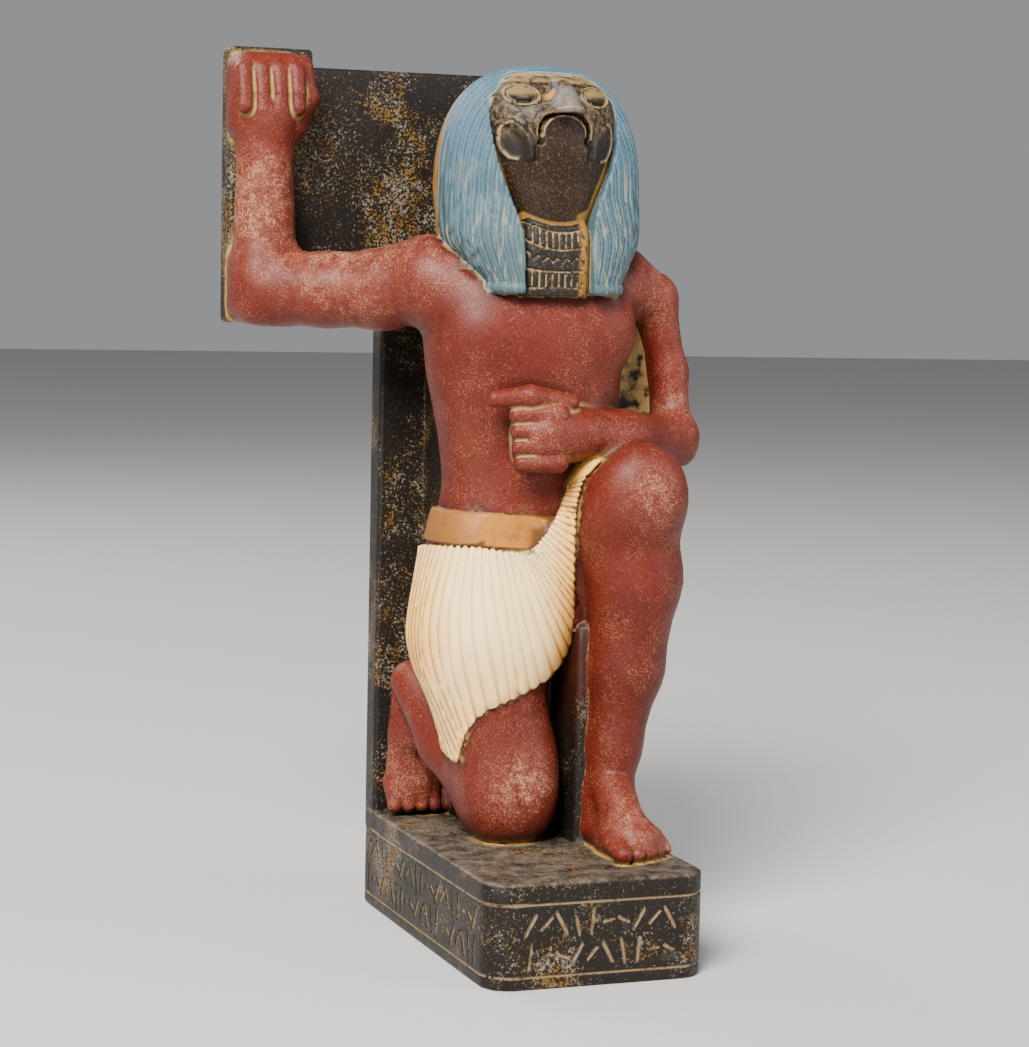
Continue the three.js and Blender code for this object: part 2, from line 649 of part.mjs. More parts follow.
// A heap of edges, least cost on top.
function costHeap(room) {
  const costs = new Float64Array(room);
  const items = new Int32Array(room);
  let size = 0;
  const push = (cost, item) => {
    let i = size;
    size += 1;
    while (i > 0) {
      const parent = (i - 1) >> 1;
      if (costs[parent] <= cost) break;
      costs[i] = costs[parent];
      items[i] = items[parent];
      i = parent;
    }
    costs[i] = cost;
    items[i] = item;
  };
  const pop = () => {
    const top = items[0];
    size -= 1;
    const cost = costs[size];
    const item = items[size];
    let i = 0;
    for (;;) {
      let child = 2 * i + 1;
      if (child >= size) break;
      if (child + 1 < size && costs[child + 1] < costs[child]) child += 1;
      if (costs[child] >= cost) break;
      costs[i] = costs[child];
      items[i] = items[child];
      i = child;
    }
    costs[i] = cost;
    items[i] = item;
    return top;
  };
  return { push, pop, size: () => size };
}

function thinned({ points, triangles }, target) {
  const count = points.length / 3;
  const matrices = new Float64Array(count * MATRIX);
  const around = Array.from({ length: count }, () => []);
  const gone = new Uint8Array(triangles.length / 3);
  const at = (v) => [points[3 * v], points[3 * v + 1], points[3 * v + 2]];
  const normalOf = (a, b, c) => cross(minus(b, a), minus(c, a));

  for (let t = 0; t < gone.length; t += 1) {
    const corners = [triangles[3 * t], triangles[3 * t + 1], triangles[3 * t + 2]];
    const origin = at(corners[0]);
    const normal = normalOf(origin, at(corners[1]), at(corners[2]));
    const size = Math.sqrt(dot(normal, normal)) || 1;
    const plane = [...normal.map((value) => value / size), 0];
    plane[3] = -dot(plane, origin);
    for (const v of corners) {
      around[v].push(t);
      let m = v * MATRIX;
      for (let i = 0; i < 4; i += 1) {
        for (let j = i; j < 4; j += 1) {
          matrices[m] += plane[i] * plane[j] * size;
          m += 1;
        }
      }
    }
  }

  // The best point for a collapsed edge is left in meeting, and its cost is returned.
  const q = new Float64Array(MATRIX);
  const meeting = [0, 0, 0];
  const settle = (a, b) => {
    for (let i = 0; i < MATRIX; i += 1) q[i] = matrices[a * MATRIX + i] + matrices[b * MATRIX + i];
    const [xx, xy, xz, x1, yy, yz, y1, zz, z1, one] = q;
    const mx = (points[3 * a] + points[3 * b]) / 2;
    const my = (points[3 * a + 1] + points[3 * b + 1]) / 2;
    const mz = (points[3 * a + 2] + points[3 * b + 2]) / 2;
    const steady = STEADY * (xx + yy + zz) + 1e-12;
    const [sx, sy, sz] = [xx + steady, yy + steady, zz + steady];
    const [rx, ry, rz] = [steady * mx - x1, steady * my - y1, steady * mz - z1];
    const c00 = sy * sz - yz * yz;
    const c01 = xz * yz - xy * sz;
    const c02 = xy * yz - xz * sy;
    const c11 = sx * sz - xz * xz;
    const c12 = xy * xz - sx * yz;
    const c22 = sx * sy - xy * xy;
    const whole = sx * c00 + xy * c01 + xz * c02;
    const x = (rx * c00 + ry * c01 + rz * c02) / whole;
    const y = (rx * c01 + ry * c11 + rz * c12) / whole;
    const z = (rx * c02 + ry * c12 + rz * c22) / whole;
    meeting[0] = x;
    meeting[1] = y;
    meeting[2] = z;
    const cost = xx * x * x + yy * y * y + zz * z * z + one
      + 2 * (xy * x * y + xz * x * z + yz * y * z + x1 * x + y1 * y + z1 * z);
    return Math.max(cost, 0) + steady * ((x - mx) ** 2 + (y - my) ** 2 + (z - mz) ** 2);
  };

  const room = 12 * gone.length;
  const heap = costHeap(room);
  const edges = new Int32Array(3 * room);
  const changes = new Int32Array(count);
  let offers = 0;
  const offer = (a, b) => {
    heap.push(settle(a, b), offers);
    edges.set([a, b, changes[a] + changes[b]], 3 * offers);
    offers += 1;
  };
  for (let t = 0; t < triangles.length; t += 3) {
    for (let i = 0; i < 3; i += 1) {
      const a = triangles[t + i];
      const b = triangles[t + ((i + 1) % 3)];
      if (a < b) offer(a, b);
    }
  }

  const neighbours = (v) => {
    const found = [];
    for (const t of around[v]) {
      for (let i = 3 * t; i < 3 * t + 3; i += 1) {
        if (triangles[i] !== v && !found.includes(triangles[i])) found.push(triangles[i]);
      }
    }
    return found;
  };
  const turnsOver = (v, other, point) => around[v].some((t) => {
    const corners = [triangles[3 * t], triangles[3 * t + 1], triangles[3 * t + 2]];
    if (corners.includes(other)) return false;
    const before = normalOf(...corners.map(at));
    const after = normalOf(...corners.map((c) => (c === v ? point : at(c))));
    return dot(before, after) < LEAST_COSINE * Math.sqrt(dot(before, before) * dot(after, after));
  });

  const dead = new Uint8Array(count);
  let left = gone.length;
  while (left > target && heap.size() > 0) {
    const record = 3 * heap.pop();
    const a = edges[record];
    const b = edges[record + 1];
    if (dead[a] || dead[b] || edges[record + 2] !== changes[a] + changes[b]) continue;
    const nearA = neighbours(a);
    const shared = neighbours(b).filter((v) => nearA.includes(v)).length;
    settle(a, b);
    if (shared !== 2 || turnsOver(a, b, meeting) || turnsOver(b, a, meeting)) continue;
    points.set(meeting, 3 * a);
    for (let i = 0; i < MATRIX; i += 1) matrices[a * MATRIX + i] += matrices[b * MATRIX + i];
    for (const t of around[b]) {
      const corners = [triangles[3 * t], triangles[3 * t + 1], triangles[3 * t + 2]];
      if (corners.includes(a)) {
        gone[t] = 1;
        left -= 1;
        for (const c of corners) if (c !== b) around[c] = around[c].filter((other) => other !== t);
      } else {
        triangles[3 * t + corners.indexOf(b)] = a;
        around[a].push(t);
      }
    }
    dead[b] = 1;
    changes[a] += changes[b] + 1;
    for (const v of neighbours(a)) offer(a, v);
  }

  const indices = new Int32Array(count).fill(-1);
  const kept = { points: [], triangles: [] };
  for (let t = 0; t < gone.length; t += 1) {
    if (gone[t]) continue;
    for (let i = 0; i < 3; i += 1) {
      const v = triangles[3 * t + i];
      if (indices[v] < 0) {
        indices[v] = kept.points.length / 3;
        kept.points.push(...at(v));
      }
      kept.triangles.push(indices[v]);
    }
  }
  return kept;
}

// Closed meshes as solids.
function solidOf(geometry) {
  geometry.deleteAttribute('normal');
  geometry.deleteAttribute('uv');
  const merged = mergeVertices(geometry, 1e-4);
  return new wasm.Manifold(new wasm.Mesh({
    numProp: 3,
    vertProperties: merged.attributes.position.array,
    triVerts: Uint32Array.from(merged.index.array),
  }));
}

function figureSolid() {
  const { points, triangles } = thinned(surfaceOf(figure), FIGURE_TRIANGLES);
  const placed = new Float32Array(points.length);
  for (let i = 0; i < points.length; i += 3) {
    placed[i] = (points[i] + FIGURE_SHIFT) * SHARE;
    placed[i + 1] = SLAB_FRONT_Y - points[i + 1] * SHARE;
    placed[i + 2] = BASE_HEIGHT + points[i + 2] * SHARE;
  }
  return new wasm.Manifold(new wasm.Mesh({
    numProp: 3,
    vertProperties: placed,
    triVerts: Uint32Array.from(triangles),
  }));
}

// Base outline seen from above: large rounds at the front corners, small ones at the back.
function baseOutline(grow, backGrow = grow) {
  const right = BASE_HALF + grow;
  const front = FRONT_Y - grow;
  const back = BACK_Y + backGrow;
  const turn = BASE_FRONT_CORNER + Math.max(grow, 1 - BASE_FRONT_CORNER);
  const small = BASE_BACK_CORNER;
  const outline = new THREE.Shape();
  outline.absarc(right - turn, front + turn, turn, -Math.PI / 2, 0, false);
  outline.absarc(right - small, back - small, small, 0, Math.PI / 2, false);
  outline.absarc(-right + small, back - small, small, Math.PI / 2, Math.PI, false);
  outline.absarc(-right + turn, front + turn, turn, Math.PI, 1.5 * Math.PI, false);
  outline.closePath();
  return outline;
}

const CORNER_STEPS = 6;
const ROUND_STEPS = 2;

function baseSolid() {
  const geometry = new THREE.ExtrudeGeometry(baseOutline(0), {
    depth: BASE_HEIGHT - 2 * BASE_EDGE_ROUND,
    bevelThickness: BASE_EDGE_ROUND,
    bevelSize: BASE_EDGE_ROUND,
    bevelOffset: -BASE_EDGE_ROUND,
    bevelSegments: ROUND_STEPS,
    curveSegments: CORNER_STEPS,
  });
  return solidOf(geometry.translate(0, 0, BASE_EDGE_ROUND));
}

// Slab seen from the front: a pillar as wide as the base, a panel behind the raised arm and a tab
// that rises behind the fist.
function slabSolid() {
  const panelTop = BASE_HEIGHT + FIGURE_HEIGHT;
  const panelFoot = BASE_HEIGHT + ARM_UNDERSIDE * SHARE;
  const tabTop = panelTop + TAB_RISE;
  const left = (ARM_LEFT + FIGURE_SHIFT) * SHARE;
  const tabRight = (FIST_RIGHT + FIGURE_SHIFT) * SHARE;
  const foot = BASE_HEIGHT - BURY - SLAB_EDGE_ROUND;
  const outline = new THREE.Shape([
    [-BASE_HALF, foot], [BASE_HALF, foot], [BASE_HALF, panelTop], [tabRight + TAB_RISE / 2, panelTop],
    [tabRight, tabTop], [left, tabTop], [left, panelFoot], [-BASE_HALF, panelFoot],
  ].map(([x, z]) => new THREE.Vector2(x, z)));
  const geometry = new THREE.ExtrudeGeometry(outline, {
    depth: SLAB_THICKNESS - 2 * SLAB_EDGE_ROUND,
    bevelThickness: SLAB_EDGE_ROUND,
    bevelSize: SLAB_EDGE_ROUND,
    bevelOffset: -SLAB_EDGE_ROUND,
    bevelSegments: ROUND_STEPS,
  });
  return solidOf(geometry.rotateX(Math.PI / 2).translate(0, BACK_Y - SLAB_EDGE_ROUND, 0));
}

// A shallow line round the front and sides of the base; the back is left plain.
const AROUND = 4;
function lineCutter(z) {
  const outer = solidOf(new THREE.ExtrudeGeometry(baseOutline(AROUND), {
    depth: LINE_WIDTH,
    bevelEnabled: false,
    curveSegments: CORNER_STEPS,
  }).translate(0, 0, z - LINE_WIDTH / 2));
  const inner = solidOf(new THREE.ExtrudeGeometry(baseOutline(-LINE_DEPTH, 2 * AROUND), {
    depth: 3 * LINE_WIDTH,
    bevelEnabled: false,
    curveSegments: CORNER_STEPS,
  }).translate(0, 0, z - 1.5 * LINE_WIDTH));
  return outer.subtract(inner);
}

// Rows of short slanted strokes between the two lines, on a face whose middle, length and turn are given.
const STROKE_TILTS = [6, -28, 30, 82, -10, 42, -60];
const STROKE_GAP = 0.8;
const FIELD_MARGIN = 1.2;

function strokeCutters(middleX, middleY, length, turn) {
  const low = BOTTOM_LINE_RISE + FIELD_MARGIN;
  const high = BASE_HEIGHT - TOP_LINE_DROP - FIELD_MARGIN;
  const rowHeight = (high - low) / STROKE_ROWS;
  const count = Math.floor(length / STROKE_PITCH);
  const cutters = [];
  for (let row = 0; row < STROKE_ROWS; row += 1) {
    for (let i = 0; i < count; i += 1) {
      const tilt = THREE.MathUtils.degToRad(STROKE_TILTS[(i * 3 + row * 2) % STROKE_TILTS.length]);
      const tall = (rowHeight - STROKE_GAP) / Math.abs(Math.cos(tilt));
      const wide = (STROKE_PITCH - STROKE_GAP) / Math.abs(Math.sin(tilt));
      const along = (i + 0.5 - count / 2) * STROKE_PITCH;
      const stroke = new THREE.BoxGeometry(STROKE_WIDTH, 2 * STROKE_DEPTH, Math.min(tall, wide));
      stroke.rotateY(tilt);
      stroke.translate(along, 0, low + (row + 0.5) * rowHeight);
      stroke.rotateZ(turn);
      stroke.translate(middleX, middleY, 0);
      cutters.push(solidOf(stroke));
    }
  }
  return cutters;
}

const flatLength = 2 * (BASE_HALF - BASE_FRONT_CORNER);
const sideLength = BASE_LENGTH - BASE_FRONT_CORNER - BASE_BACK_CORNER;
const cutters = [
  lineCutter(BASE_HEIGHT - TOP_LINE_DROP),
  lineCutter(BOTTOM_LINE_RISE),
  ...strokeCutters(0, FRONT_Y, flatLength, 0),
  ...strokeCutters(-BASE_HALF, (BASE_FRONT_CORNER - BASE_BACK_CORNER) / 2, sideLength, Math.PI / 2),
];
let statue = baseSolid().add(slabSolid()).add(figureSolid());
for (const cutter of cutters) statue = statue.subtract(cutter);

function geometryOf(solid) {
  const { vertProperties, triVerts } = solid.getMesh();
  const geometry = new THREE.BufferGeometry();
  geometry.setAttribute('position', new THREE.BufferAttribute(vertProperties, 3));
  geometry.setIndex(new THREE.BufferAttribute(triVerts, 1));
  const faceted = geometry.toNonIndexed();
  faceted.computeVertexNormals();
  return faceted;
}

const paintedStone = new THREE.MeshStandardMaterial({ color: 0x8c4a35, roughness: 0.72, metalness: 0 });
const mesh = new THREE.Mesh(geometryOf(statue), paintedStone);
mesh.name = 'horus_falcon_figure';

const group = new THREE.Group();
group.add(mesh);

export default group;
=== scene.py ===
import bmesh
import bpy
import numpy as np
from mathutils import Matrix, Vector


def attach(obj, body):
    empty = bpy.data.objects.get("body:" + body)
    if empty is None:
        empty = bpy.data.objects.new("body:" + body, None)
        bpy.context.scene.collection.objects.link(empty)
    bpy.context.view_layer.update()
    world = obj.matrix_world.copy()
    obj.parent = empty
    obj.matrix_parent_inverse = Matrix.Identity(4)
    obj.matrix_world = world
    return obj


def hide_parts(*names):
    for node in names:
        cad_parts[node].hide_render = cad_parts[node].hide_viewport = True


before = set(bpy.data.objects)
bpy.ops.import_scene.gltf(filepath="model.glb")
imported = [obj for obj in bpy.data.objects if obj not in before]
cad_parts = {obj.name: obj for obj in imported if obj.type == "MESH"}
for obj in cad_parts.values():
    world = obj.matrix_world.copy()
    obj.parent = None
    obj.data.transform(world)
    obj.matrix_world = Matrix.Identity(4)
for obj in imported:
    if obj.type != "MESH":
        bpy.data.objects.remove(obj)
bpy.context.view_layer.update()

NODE = "horus_falcon_figure"
MILLIMETRE = 0.001

# Sizes in millimetres, as in the solid. The base's underside is z = 0 and the front is -Y.
BASE_HEIGHT = 28.5
BASE_HALF = 31.5
BASE_LENGTH = 110
BASE_FRONT_CORNER = 8
BASE_BACK_CORNER = 2
BASE_EDGE_ROUND = 1
SLAB_THICKNESS = 9
SLAB_EDGE_ROUND = 1.4
SLAB_FRONT_Y = BASE_LENGTH / 2 - SLAB_THICKNESS
FIGURE_HEIGHT = 216.5
FIGURE_SHIFT = -1.5
HEAD_MIDDLE = 1.2
TAB_RISE = 5
ARM_LEFT = -76
ARM_UNDERSIDE = 143.5
FIST_RIGHT = -54
LINE_WIDTH = 0.8
LINE_DEPTH = 0.45
TOP_LINE_DROP = 5.7
BOTTOM_LINE_RISE = 3.5
STROKE_WIDTH = 0.9
STROKE_DEPTH = 0.6
STROKE_PITCH = 4.4
STROKE_ROWS = 2


# Distance fields in figure coordinates: x to the viewer's right, f forward from the slab, h up from
# the base's top. Each takes three arrays and gives less than zero inside the stone.
def distance(*parts):
    return np.sqrt(sum(part * part for part in parts))


def soft_min(a, b, k):
    return np.minimum(a, b) - np.maximum(k - np.abs(a - b), 0) ** 2 / (4 * k)


def soft_max(a, b, k):
    return -soft_min(-a, -b, k)


def blend(k, *fields):
    def joined(x, f, h):
        result = fields[0](x, f, h)
        for field in fields[1:]:
            result = soft_min(result, field(x, f, h), k)
        return result
    return joined


def limb(start, end, radius, end_radius=None, deep=1):
    swell = (radius if end_radius is None else end_radius) - radius
    axis = [end[0] - start[0], (end[1] - start[1]) / deep, end[2] - start[2]]
    length2 = sum(value * value for value in axis)

    def field(x, f, h):
        px = x - start[0]
        pf = (f - start[1]) / deep
        ph = h - start[2]
        along = np.clip((px * axis[0] + pf * axis[1] + ph * axis[2]) / length2, 0, 1)
        gap = distance(px - axis[0] * along, pf - axis[1] * along, ph - axis[2] * along)
        return gap - radius - swell * along
    return field


def egg(centre, radii, power=2):
    def field(x, f, h):
        total = 0
        for value, middle, radius in zip((x, f, h), centre, radii):
            total = total + np.abs((value - middle) / radius) ** power
        return (total ** (1 / power) - 1) * min(radii)
    return field


def block(centre, half, round_by):
    def field(x, f, h):
        gaps = [np.abs(value - middle) - reach + round_by
                for value, middle, reach in zip((x, f, h), centre, half)]
        outside = distance(*(np.maximum(gap, 0) for gap in gaps))
        return outside + np.minimum(np.maximum.reduce(gaps), 0) - round_by
    return field


# Far outside the ball that holds it, a field answers with its distance from that ball.
CLEAR = 8
NEAR_SKIN = 2.5


def within(centre, radius, field):
    def held(x, f, h):
        gap = distance(x - centre[0], f - centre[1], h - centre[2]) - radius
        near = gap <= CLEAR
        if not near.any():
            return gap
        if near.all():
            return field(x, f, h)
        gap[near] = field(x[near], f[near], h[near])
        return gap
    return held


# A curve through [position, value, value...] rows, read at any position with soft bends.
CURVE_STEPS = 2000


def curve(rows):
    rows = [np.array(row, float) for row in rows]
    places = np.linspace(rows[0][0], rows[-1][0], CURVE_STEPS)
    values = []
    for at in places:
        i = 0
        while i < len(rows) - 2 and at > rows[i + 1][0]:
            i += 1
        before, start = rows[max(i - 1, 0)], rows[i]
        end, after = rows[i + 1], rows[min(i + 2, len(rows) - 1)]
        span = end[0] - start[0]
        t = (at - start[0]) / span
        leave = span * (end - before)[1:] / (end[0] - before[0])
        arrive = span * (after - start)[1:] / (after[0] - start[0])
        values.append(start[1:] * (2 * t ** 3 - 3 * t ** 2 + 1) + leave * (t ** 3 - 2 * t ** 2 + t)
                      + end[1:] * (3 * t ** 2 - 2 * t ** 3) + arrive * (t ** 3 - t ** 2))
    table = np.array(values).T
    return lambda at: [np.interp(at, places, row) for row in table]


# Rounded sections stacked up the h axis: rows of [h, x, f, half width, half depth].
def stack(rows, power):
    section = curve(rows)
    low, high = rows[0][0], rows[-1][0]

    def field(x, f, h):
        cx, cf, width, depth = section(h)
        total = np.abs((x - cx) / width) ** power + np.abs((f - cf) / depth) ** power
        side = (total ** (1 / power) - 1) * np.minimum(width, depth)
        return np.maximum(side, np.maximum(low - h, h - high))
    return field


def line_distance(points, x, y):
    least = np.full(np.shape(x), np.inf)
    for (ax, ay), (bx, by) in zip(points, points[1:]):
        dx, dy = bx - ax, by - ay
        along = np.clip(((x - ax) * dx + (y - ay) * dy) / (dx * dx + dy * dy), 0, 1)
        least = np.minimum(least, distance(x - ax - dx * along, y - ay - dy * along))
    return least


def ridge(gap, width):
    return np.exp(-(gap / width) ** 2)


def ribbed(at, pitch):
    return 1 - np.abs(np.sin(np.pi * at / pitch))


def mirrored(build):
    return blend(1, build(-1), build(1))


# Bare body.
torso = blend(
    6,
    stack([
        [60, -3, 38, 27, 18],
        [78, -2, 40, 26, 18],
        [88, -1.5, 40.5, 24.6, 16.5],
        [99, -1, 41, 22.8, 15.5],
        [110, -1, 41, 23.6, 15.5],
        [121, -0.5, 41.5, 26.2, 17],
        [131, -1.3, 42, 27.8, 18],
        [142, -1.4, 42, 28.8, 18.5],
        [152, 0, 41, 30.5, 17.5],
        [160, 0, 40, 28, 15.5],
        [167, 0, 39, 20, 13],
        [174, 0, 38, 12, 11],
    ], 2.4),
    limb([-27, 37, 156.5], [0, 38, 160], 11.5),
    limb([27, 38, 156.5], [0, 38, 160], 10.4),
)


def chest_muscle(side):
    return egg([HEAD_MIDDLE + side * 13.2, 51.3, 143], [13.6, 8.5, 11.5])


def nipple(side):
    return egg([HEAD_MIDDLE + side * 20.6, 56.9, 143.5], [2.1, 1.5, 2.1])


raised_arm = blend(
    3,
    limb([-27, 35.5, 157.5], [-38, 27, 153.9], 12, 11),
    limb([-38, 27, 153.9], [-52, 18, 153.4], 11, 10.2),
    limb([-52, 18, 153.4], [-66.5, 9, 153.5], 10.2, 10.2),
    block([-66.5, 6, 154.5], [9.7, 10, 11], 5),
    limb([-67.2, 7.5, 160], [-67.6, 7.5, 191], 9.2, 7.8),
)
arm_backing = blend(2, block([-45, 8, 153.5], [18, 10, 7.5], 3), block([-30, 15, 155], [12, 17, 9], 4))

FINGER_TOP = 216.5
FINGER_PITCH = 5.1
FIRST_FINGER_X = -75


def raised_finger(i):
    x = FIRST_FINGER_X + FINGER_PITCH * i
    tip = 204.5 - 1.6 * np.sin(np.pi * (i + 0.4) / 4)
    return blend(
        0.4,
        limb([x, 11, FINGER_TOP - 2.4], [x, 12.6, 208], 2.45),
        limb([x, 12.6, 208], [x, 13.4, tip], 2.4, 2.3),
    )


raised_fist = blend(
    1.5,
    block([-66.3, 4.5, 207], [11, 7.5, 12.5], 5),
    limb([-67.6, 7, 190], [-67, 8, 200], 7.8, 8.5),
    blend(0.5, *(raised_finger(i) for i in range(4))),
    limb([-62, 8, 197], [-55.6, 8.5, 207], 4.2, 3.2),
    limb([-55.6, 8.5, 207], [-57, 8.5, 216], 3.2, 2.8),
)

bent_arm = blend(
    4,
    limb([29.5, 38, 156.8], [37.6, 38.5, 153.6], 10, 7.2, 1.2),
    limb([38.8, 39, 152], [43.4, 40, 132], 6.2, 4.9, 1.3),
    limb([43.4, 40, 132], [44.3, 42, 114], 4.9, 5.7, 1.3),
    block([43.6, 42.5, 111.8], [5.4, 6.4, 6.2], 3.4),
    limb([43.4, 45, 113], [22, 58, 114], 6.7, 7.4),
    limb([22, 58, 114], [7, 61.5, 115.5], 7.4, 7.2),
)


def knuckle(i):
    h = 121.2 - 4.4 * i
    return limb([0, 66.2, h], [-11.6 + 0.5 * i, 64.6, h - 0.4], 2.9, 2.3)


bent_fist = blend(
    1.2,
    limb([9, 61, 115.5], [-2, 61, 115], 7.4, 8.8),
    block([-3, 58.5, 114.8], [6.7, 7.6, 9.4], 5),
    blend(0.4, *(knuckle(i) for i in range(4))),
    limb([4, 64, 124.2], [-8, 65.4, 126], 2.6, 3),
    limb([-8, 65.4, 126], [-18, 64.6, 125.2], 3, 2.4),
)

kneeling_thigh = blend(
    5,
    limb([-10, 38, 78], [-12, 41, 58], 17, 18),
    limb([-12, 41, 58], [-6.2, 45, 16], 17.6, 13.4),
    egg([-5.4, 46, 17.5], [13.8, 13.6, 18.6], 2.6),
)
kneeling_shin = blend(
    3,
    limb([-8, 42, 10], [-15.5, 26, 26], 9, 9.5),
    limb([-15.5, 26, 26], [-23, 13, 41], 9.5, 6.2),
)


def back_toe(i):
    return limb([-25.8 + 4.1 * i, 5, 9.5], [-25.8 + 4.1 * i, 7.4, 3.2], 2.25, 2.15)


back_foot = blend(
    2.5,
    limb([-20.8, 6, 40], [-20.8, 6.5, 24], 5.6, 6.6),
    limb([-20.8, 6.5, 24], [-19.6, 5, 11], 6.6, 8.6, 0.6),
    blend(0.6, *(back_toe(i) for i in range(5))),
)

raised_thigh = limb([12, 36, 79], [23.4, 60, 96], 16, 13.6)
raised_knee = egg([24, 63, 98.5], [14.9, 13.5, 15])
raised_shin = blend(
    4,
    raised_knee,
    limb([24.6, 60, 94], [26.6, 58, 75], 13.4, 12.8, 1.1),
    limb([26.6, 58, 75], [24.8, 57.5, 50], 12.8, 10.2, 1.2),
    limb([24.8, 57.5, 50], [21.8, 58, 28], 10.2, 7.2, 1.2),
    limb([21.8, 58, 28], [20.4, 58.5, 14], 7.2, 6.4, 1.15),
    limb([20.4, 58.5, 14], [19.6, 59, 5], 6.4, 6.8),
)
kneecap = egg([24.2, 71, 101.5], [9.5, 6, 10.5])


FRONT_TOES = [[13.6, 85.8, 2.75], [18.1, 85, 2.35], [22.1, 83, 2.15], [25.9, 80.6, 2.05], [29.4, 77.8, 2]]


def front_toe(x, tip, radius):
    return limb([x, tip - 7, 4.8], [x + 0.2, tip, radius], radius, radius - 0.1)


front_foot = blend(
    2,
    limb([19.8, 62, 17], [19.5, 74, 7.5], 6.2, 5.6),
    limb([19.4, 56, 5], [18.8, 74, 4.6], 6.5, 6.6),
    limb([20.5, 71, 4.2], [20.8, 77, 3.6], 8, 7.6),
    blend(0.7, *(front_toe(*toe) for toe in FRONT_TOES)),
)

legs = within([3, 45, 55], 75, blend(
    2.5,
    within([-12, 36, 50], 52, blend(3, kneeling_thigh, kneeling_shin)),
    within([20, 56, 58], 60, blend(5, raised_thigh, raised_shin, kneecap)),
))
arms = blend(
    2.5,
    within([-52, 16, 168], 38, raised_arm),
    within([28, 48, 134], 34, bent_arm),
)
skin = blend(2.5, within([0, 40, 118], 68, blend(3, torso, mirrored(chest_muscle))), arms, legs)
body = blend(
    0.8,
    skin,
    within([0, 59, 143.5], 22, mirrored(nipple)),
    within([-65, 8, 205], 22, raised_fist),
    within([-5, 60, 118], 18, bent_fist),
    within([-24, 12, 22], 30, back_foot),
    within([18, 72, 8], 24, front_foot),
)

# The wig's widest level, half width and rise above that level.
WIG_MIDDLE = 181
WIG_HALF = 29.3
WIG_RISE = FIGURE_HEIGHT - WIG_MIDDLE
WIG_DEPTH = 18.4
WIG_CENTRE_F = 42
WIG_POWER = 2.5
WIG_BACKING_HALF = 14.4
WIG_OVERHANG = 4

head_wall = egg([HEAD_MIDDLE, 20, WIG_MIDDLE], [WIG_BACKING_HALF, 300, WIG_RISE - WIG_OVERHANG], 2.4)


def head_backing(x, f, h):
    return np.maximum(head_wall(x, f, h), f - WIG_CENTRE_F)


# Stone left standing behind the body, between its legs and beside its bent arm.
webs = blend(
    1.5,
    block([1.5, 15, 104], [17.5, 17, 60], 2),
    block([5, 15, 40], [14, 17, 44], 2),
    head_backing,
    block([8, 18, 40], [9, 20, 44], 2),
    block([17.5, 28, 30], [6.5, 29, 32], 2),
    block([32, 33, 133], [8, 6, 22], 2),
    arm_backing,
)

# Kilt: the hips and thighs made thicker by the cloth, cut off at a hem, with pleats that fan out.
CLOTH = 1.3
hips = blend(
    6,
    kneeling_thigh,
    raised_thigh,
    raised_knee,
    egg([-1, 40, 82], [24.6, 18.5, 20], 2.4),
    egg([-11.5, 41, 61], [18.7, 18.6, 24]),
    egg([-2, 42, 66], [16, 16, 22]),
)
PLEAT_PITCH = 1 / 14
PLEAT_DEPTH = 0.5
FIRST_PLEAT = -1
LAST_PLEAT = 2.6
HALVINGS = 12
pleat_start = curve([
    [FIRST_PLEAT, -70, 87], [0, -34.4, 84.7], [1, -6.9, 81.3], [1.25, -4.3, 82.5], [1.5, -1.8, 84.8],
    [1.75, 1.3, 88.4], [2, 4.7, 92.6], [2.3, 8.2, 98], [LAST_PLEAT, 12, 104],
])
pleat_end = curve([
    [FIRST_PLEAT, -60, 20], [0, -25.7, 25.2], [0.35, -19.9, 35.8], [0.6, -11.1, 40.7], [0.85, -0.9, 45.5],
    [1, 6, 52.3], [1.25, 9.2, 64.7], [1.5, 9.3, 73.2], [2, 9.3, 91.3], [2.3, 9.5, 97.7],
    [LAST_PLEAT, 13, 104.5],
])
PLEAT_BOW = 8
BOW_MIDDLE = 56
BOW_REACH = 31

# The cloth's edges, laid out on a plane before the thighs that is looked at from the kneeling leg's side.
CLOTH_PLANE = 58
SIGHT_SLANT = 0.4
hem_height = curve([
    [-60, 60], [-25.7, 24.5], [-22.4, 32.3], [-20.5, 35.3], [-17.7, 37.9], [-11.1, 40.7], [-3.5, 44],
    [2.3, 47.5], [6.4, 52.6], [8.5, 58], [9.2, 64], [14, 76],
])
cloth_side = curve([
    [30, 9.2], [64, 9.2], [94, 9.2], [99.2, 10.1], [102.2, 11.2], [105.2, 13.6], [107.6, 16], [112, 22],
])
waist_height = curve([
    [-60, 87], [-35, 85.4], [-20.3, 84.4], [-5, 83], [-0.6, 87], [3, 92.5], [5.5, 99], [7.5, 105],
    [10, 107.8], [30, 108],
])


def on_cloth_plane(x, f, h):
    return x + SIGHT_SLANT * (f - CLOTH_PLANE), h + (0.2 - 0.001 * h) * (CLOTH_PLANE - f)


def pleat_at(x, f, h):
    across, level = on_cloth_plane(x, f, h)
    wrapped = across - 0.45 * np.maximum(48 - f, 0)
    bow = PLEAT_BOW * np.clip((-12 - wrapped) / 20, 0, 1.2)
    wrapped = wrapped + bow * np.maximum(1 - ((level - BOW_MIDDLE) / BOW_REACH) ** 2, 0)
    low = np.full_like(wrapped, FIRST_PLEAT)
    high = np.full_like(wrapped, LAST_PLEAT)
    for _ in range(HALVINGS):
        middle = (low + high) / 2
        sx, sh = pleat_start(middle)
        ex, eh = pleat_end(middle)
        before = (wrapped - sx) * (eh - sh) - (level - sh) * (ex - sx) < 0
        low = np.where(before, middle, low)
        high = np.where(before, high, middle)
    return low


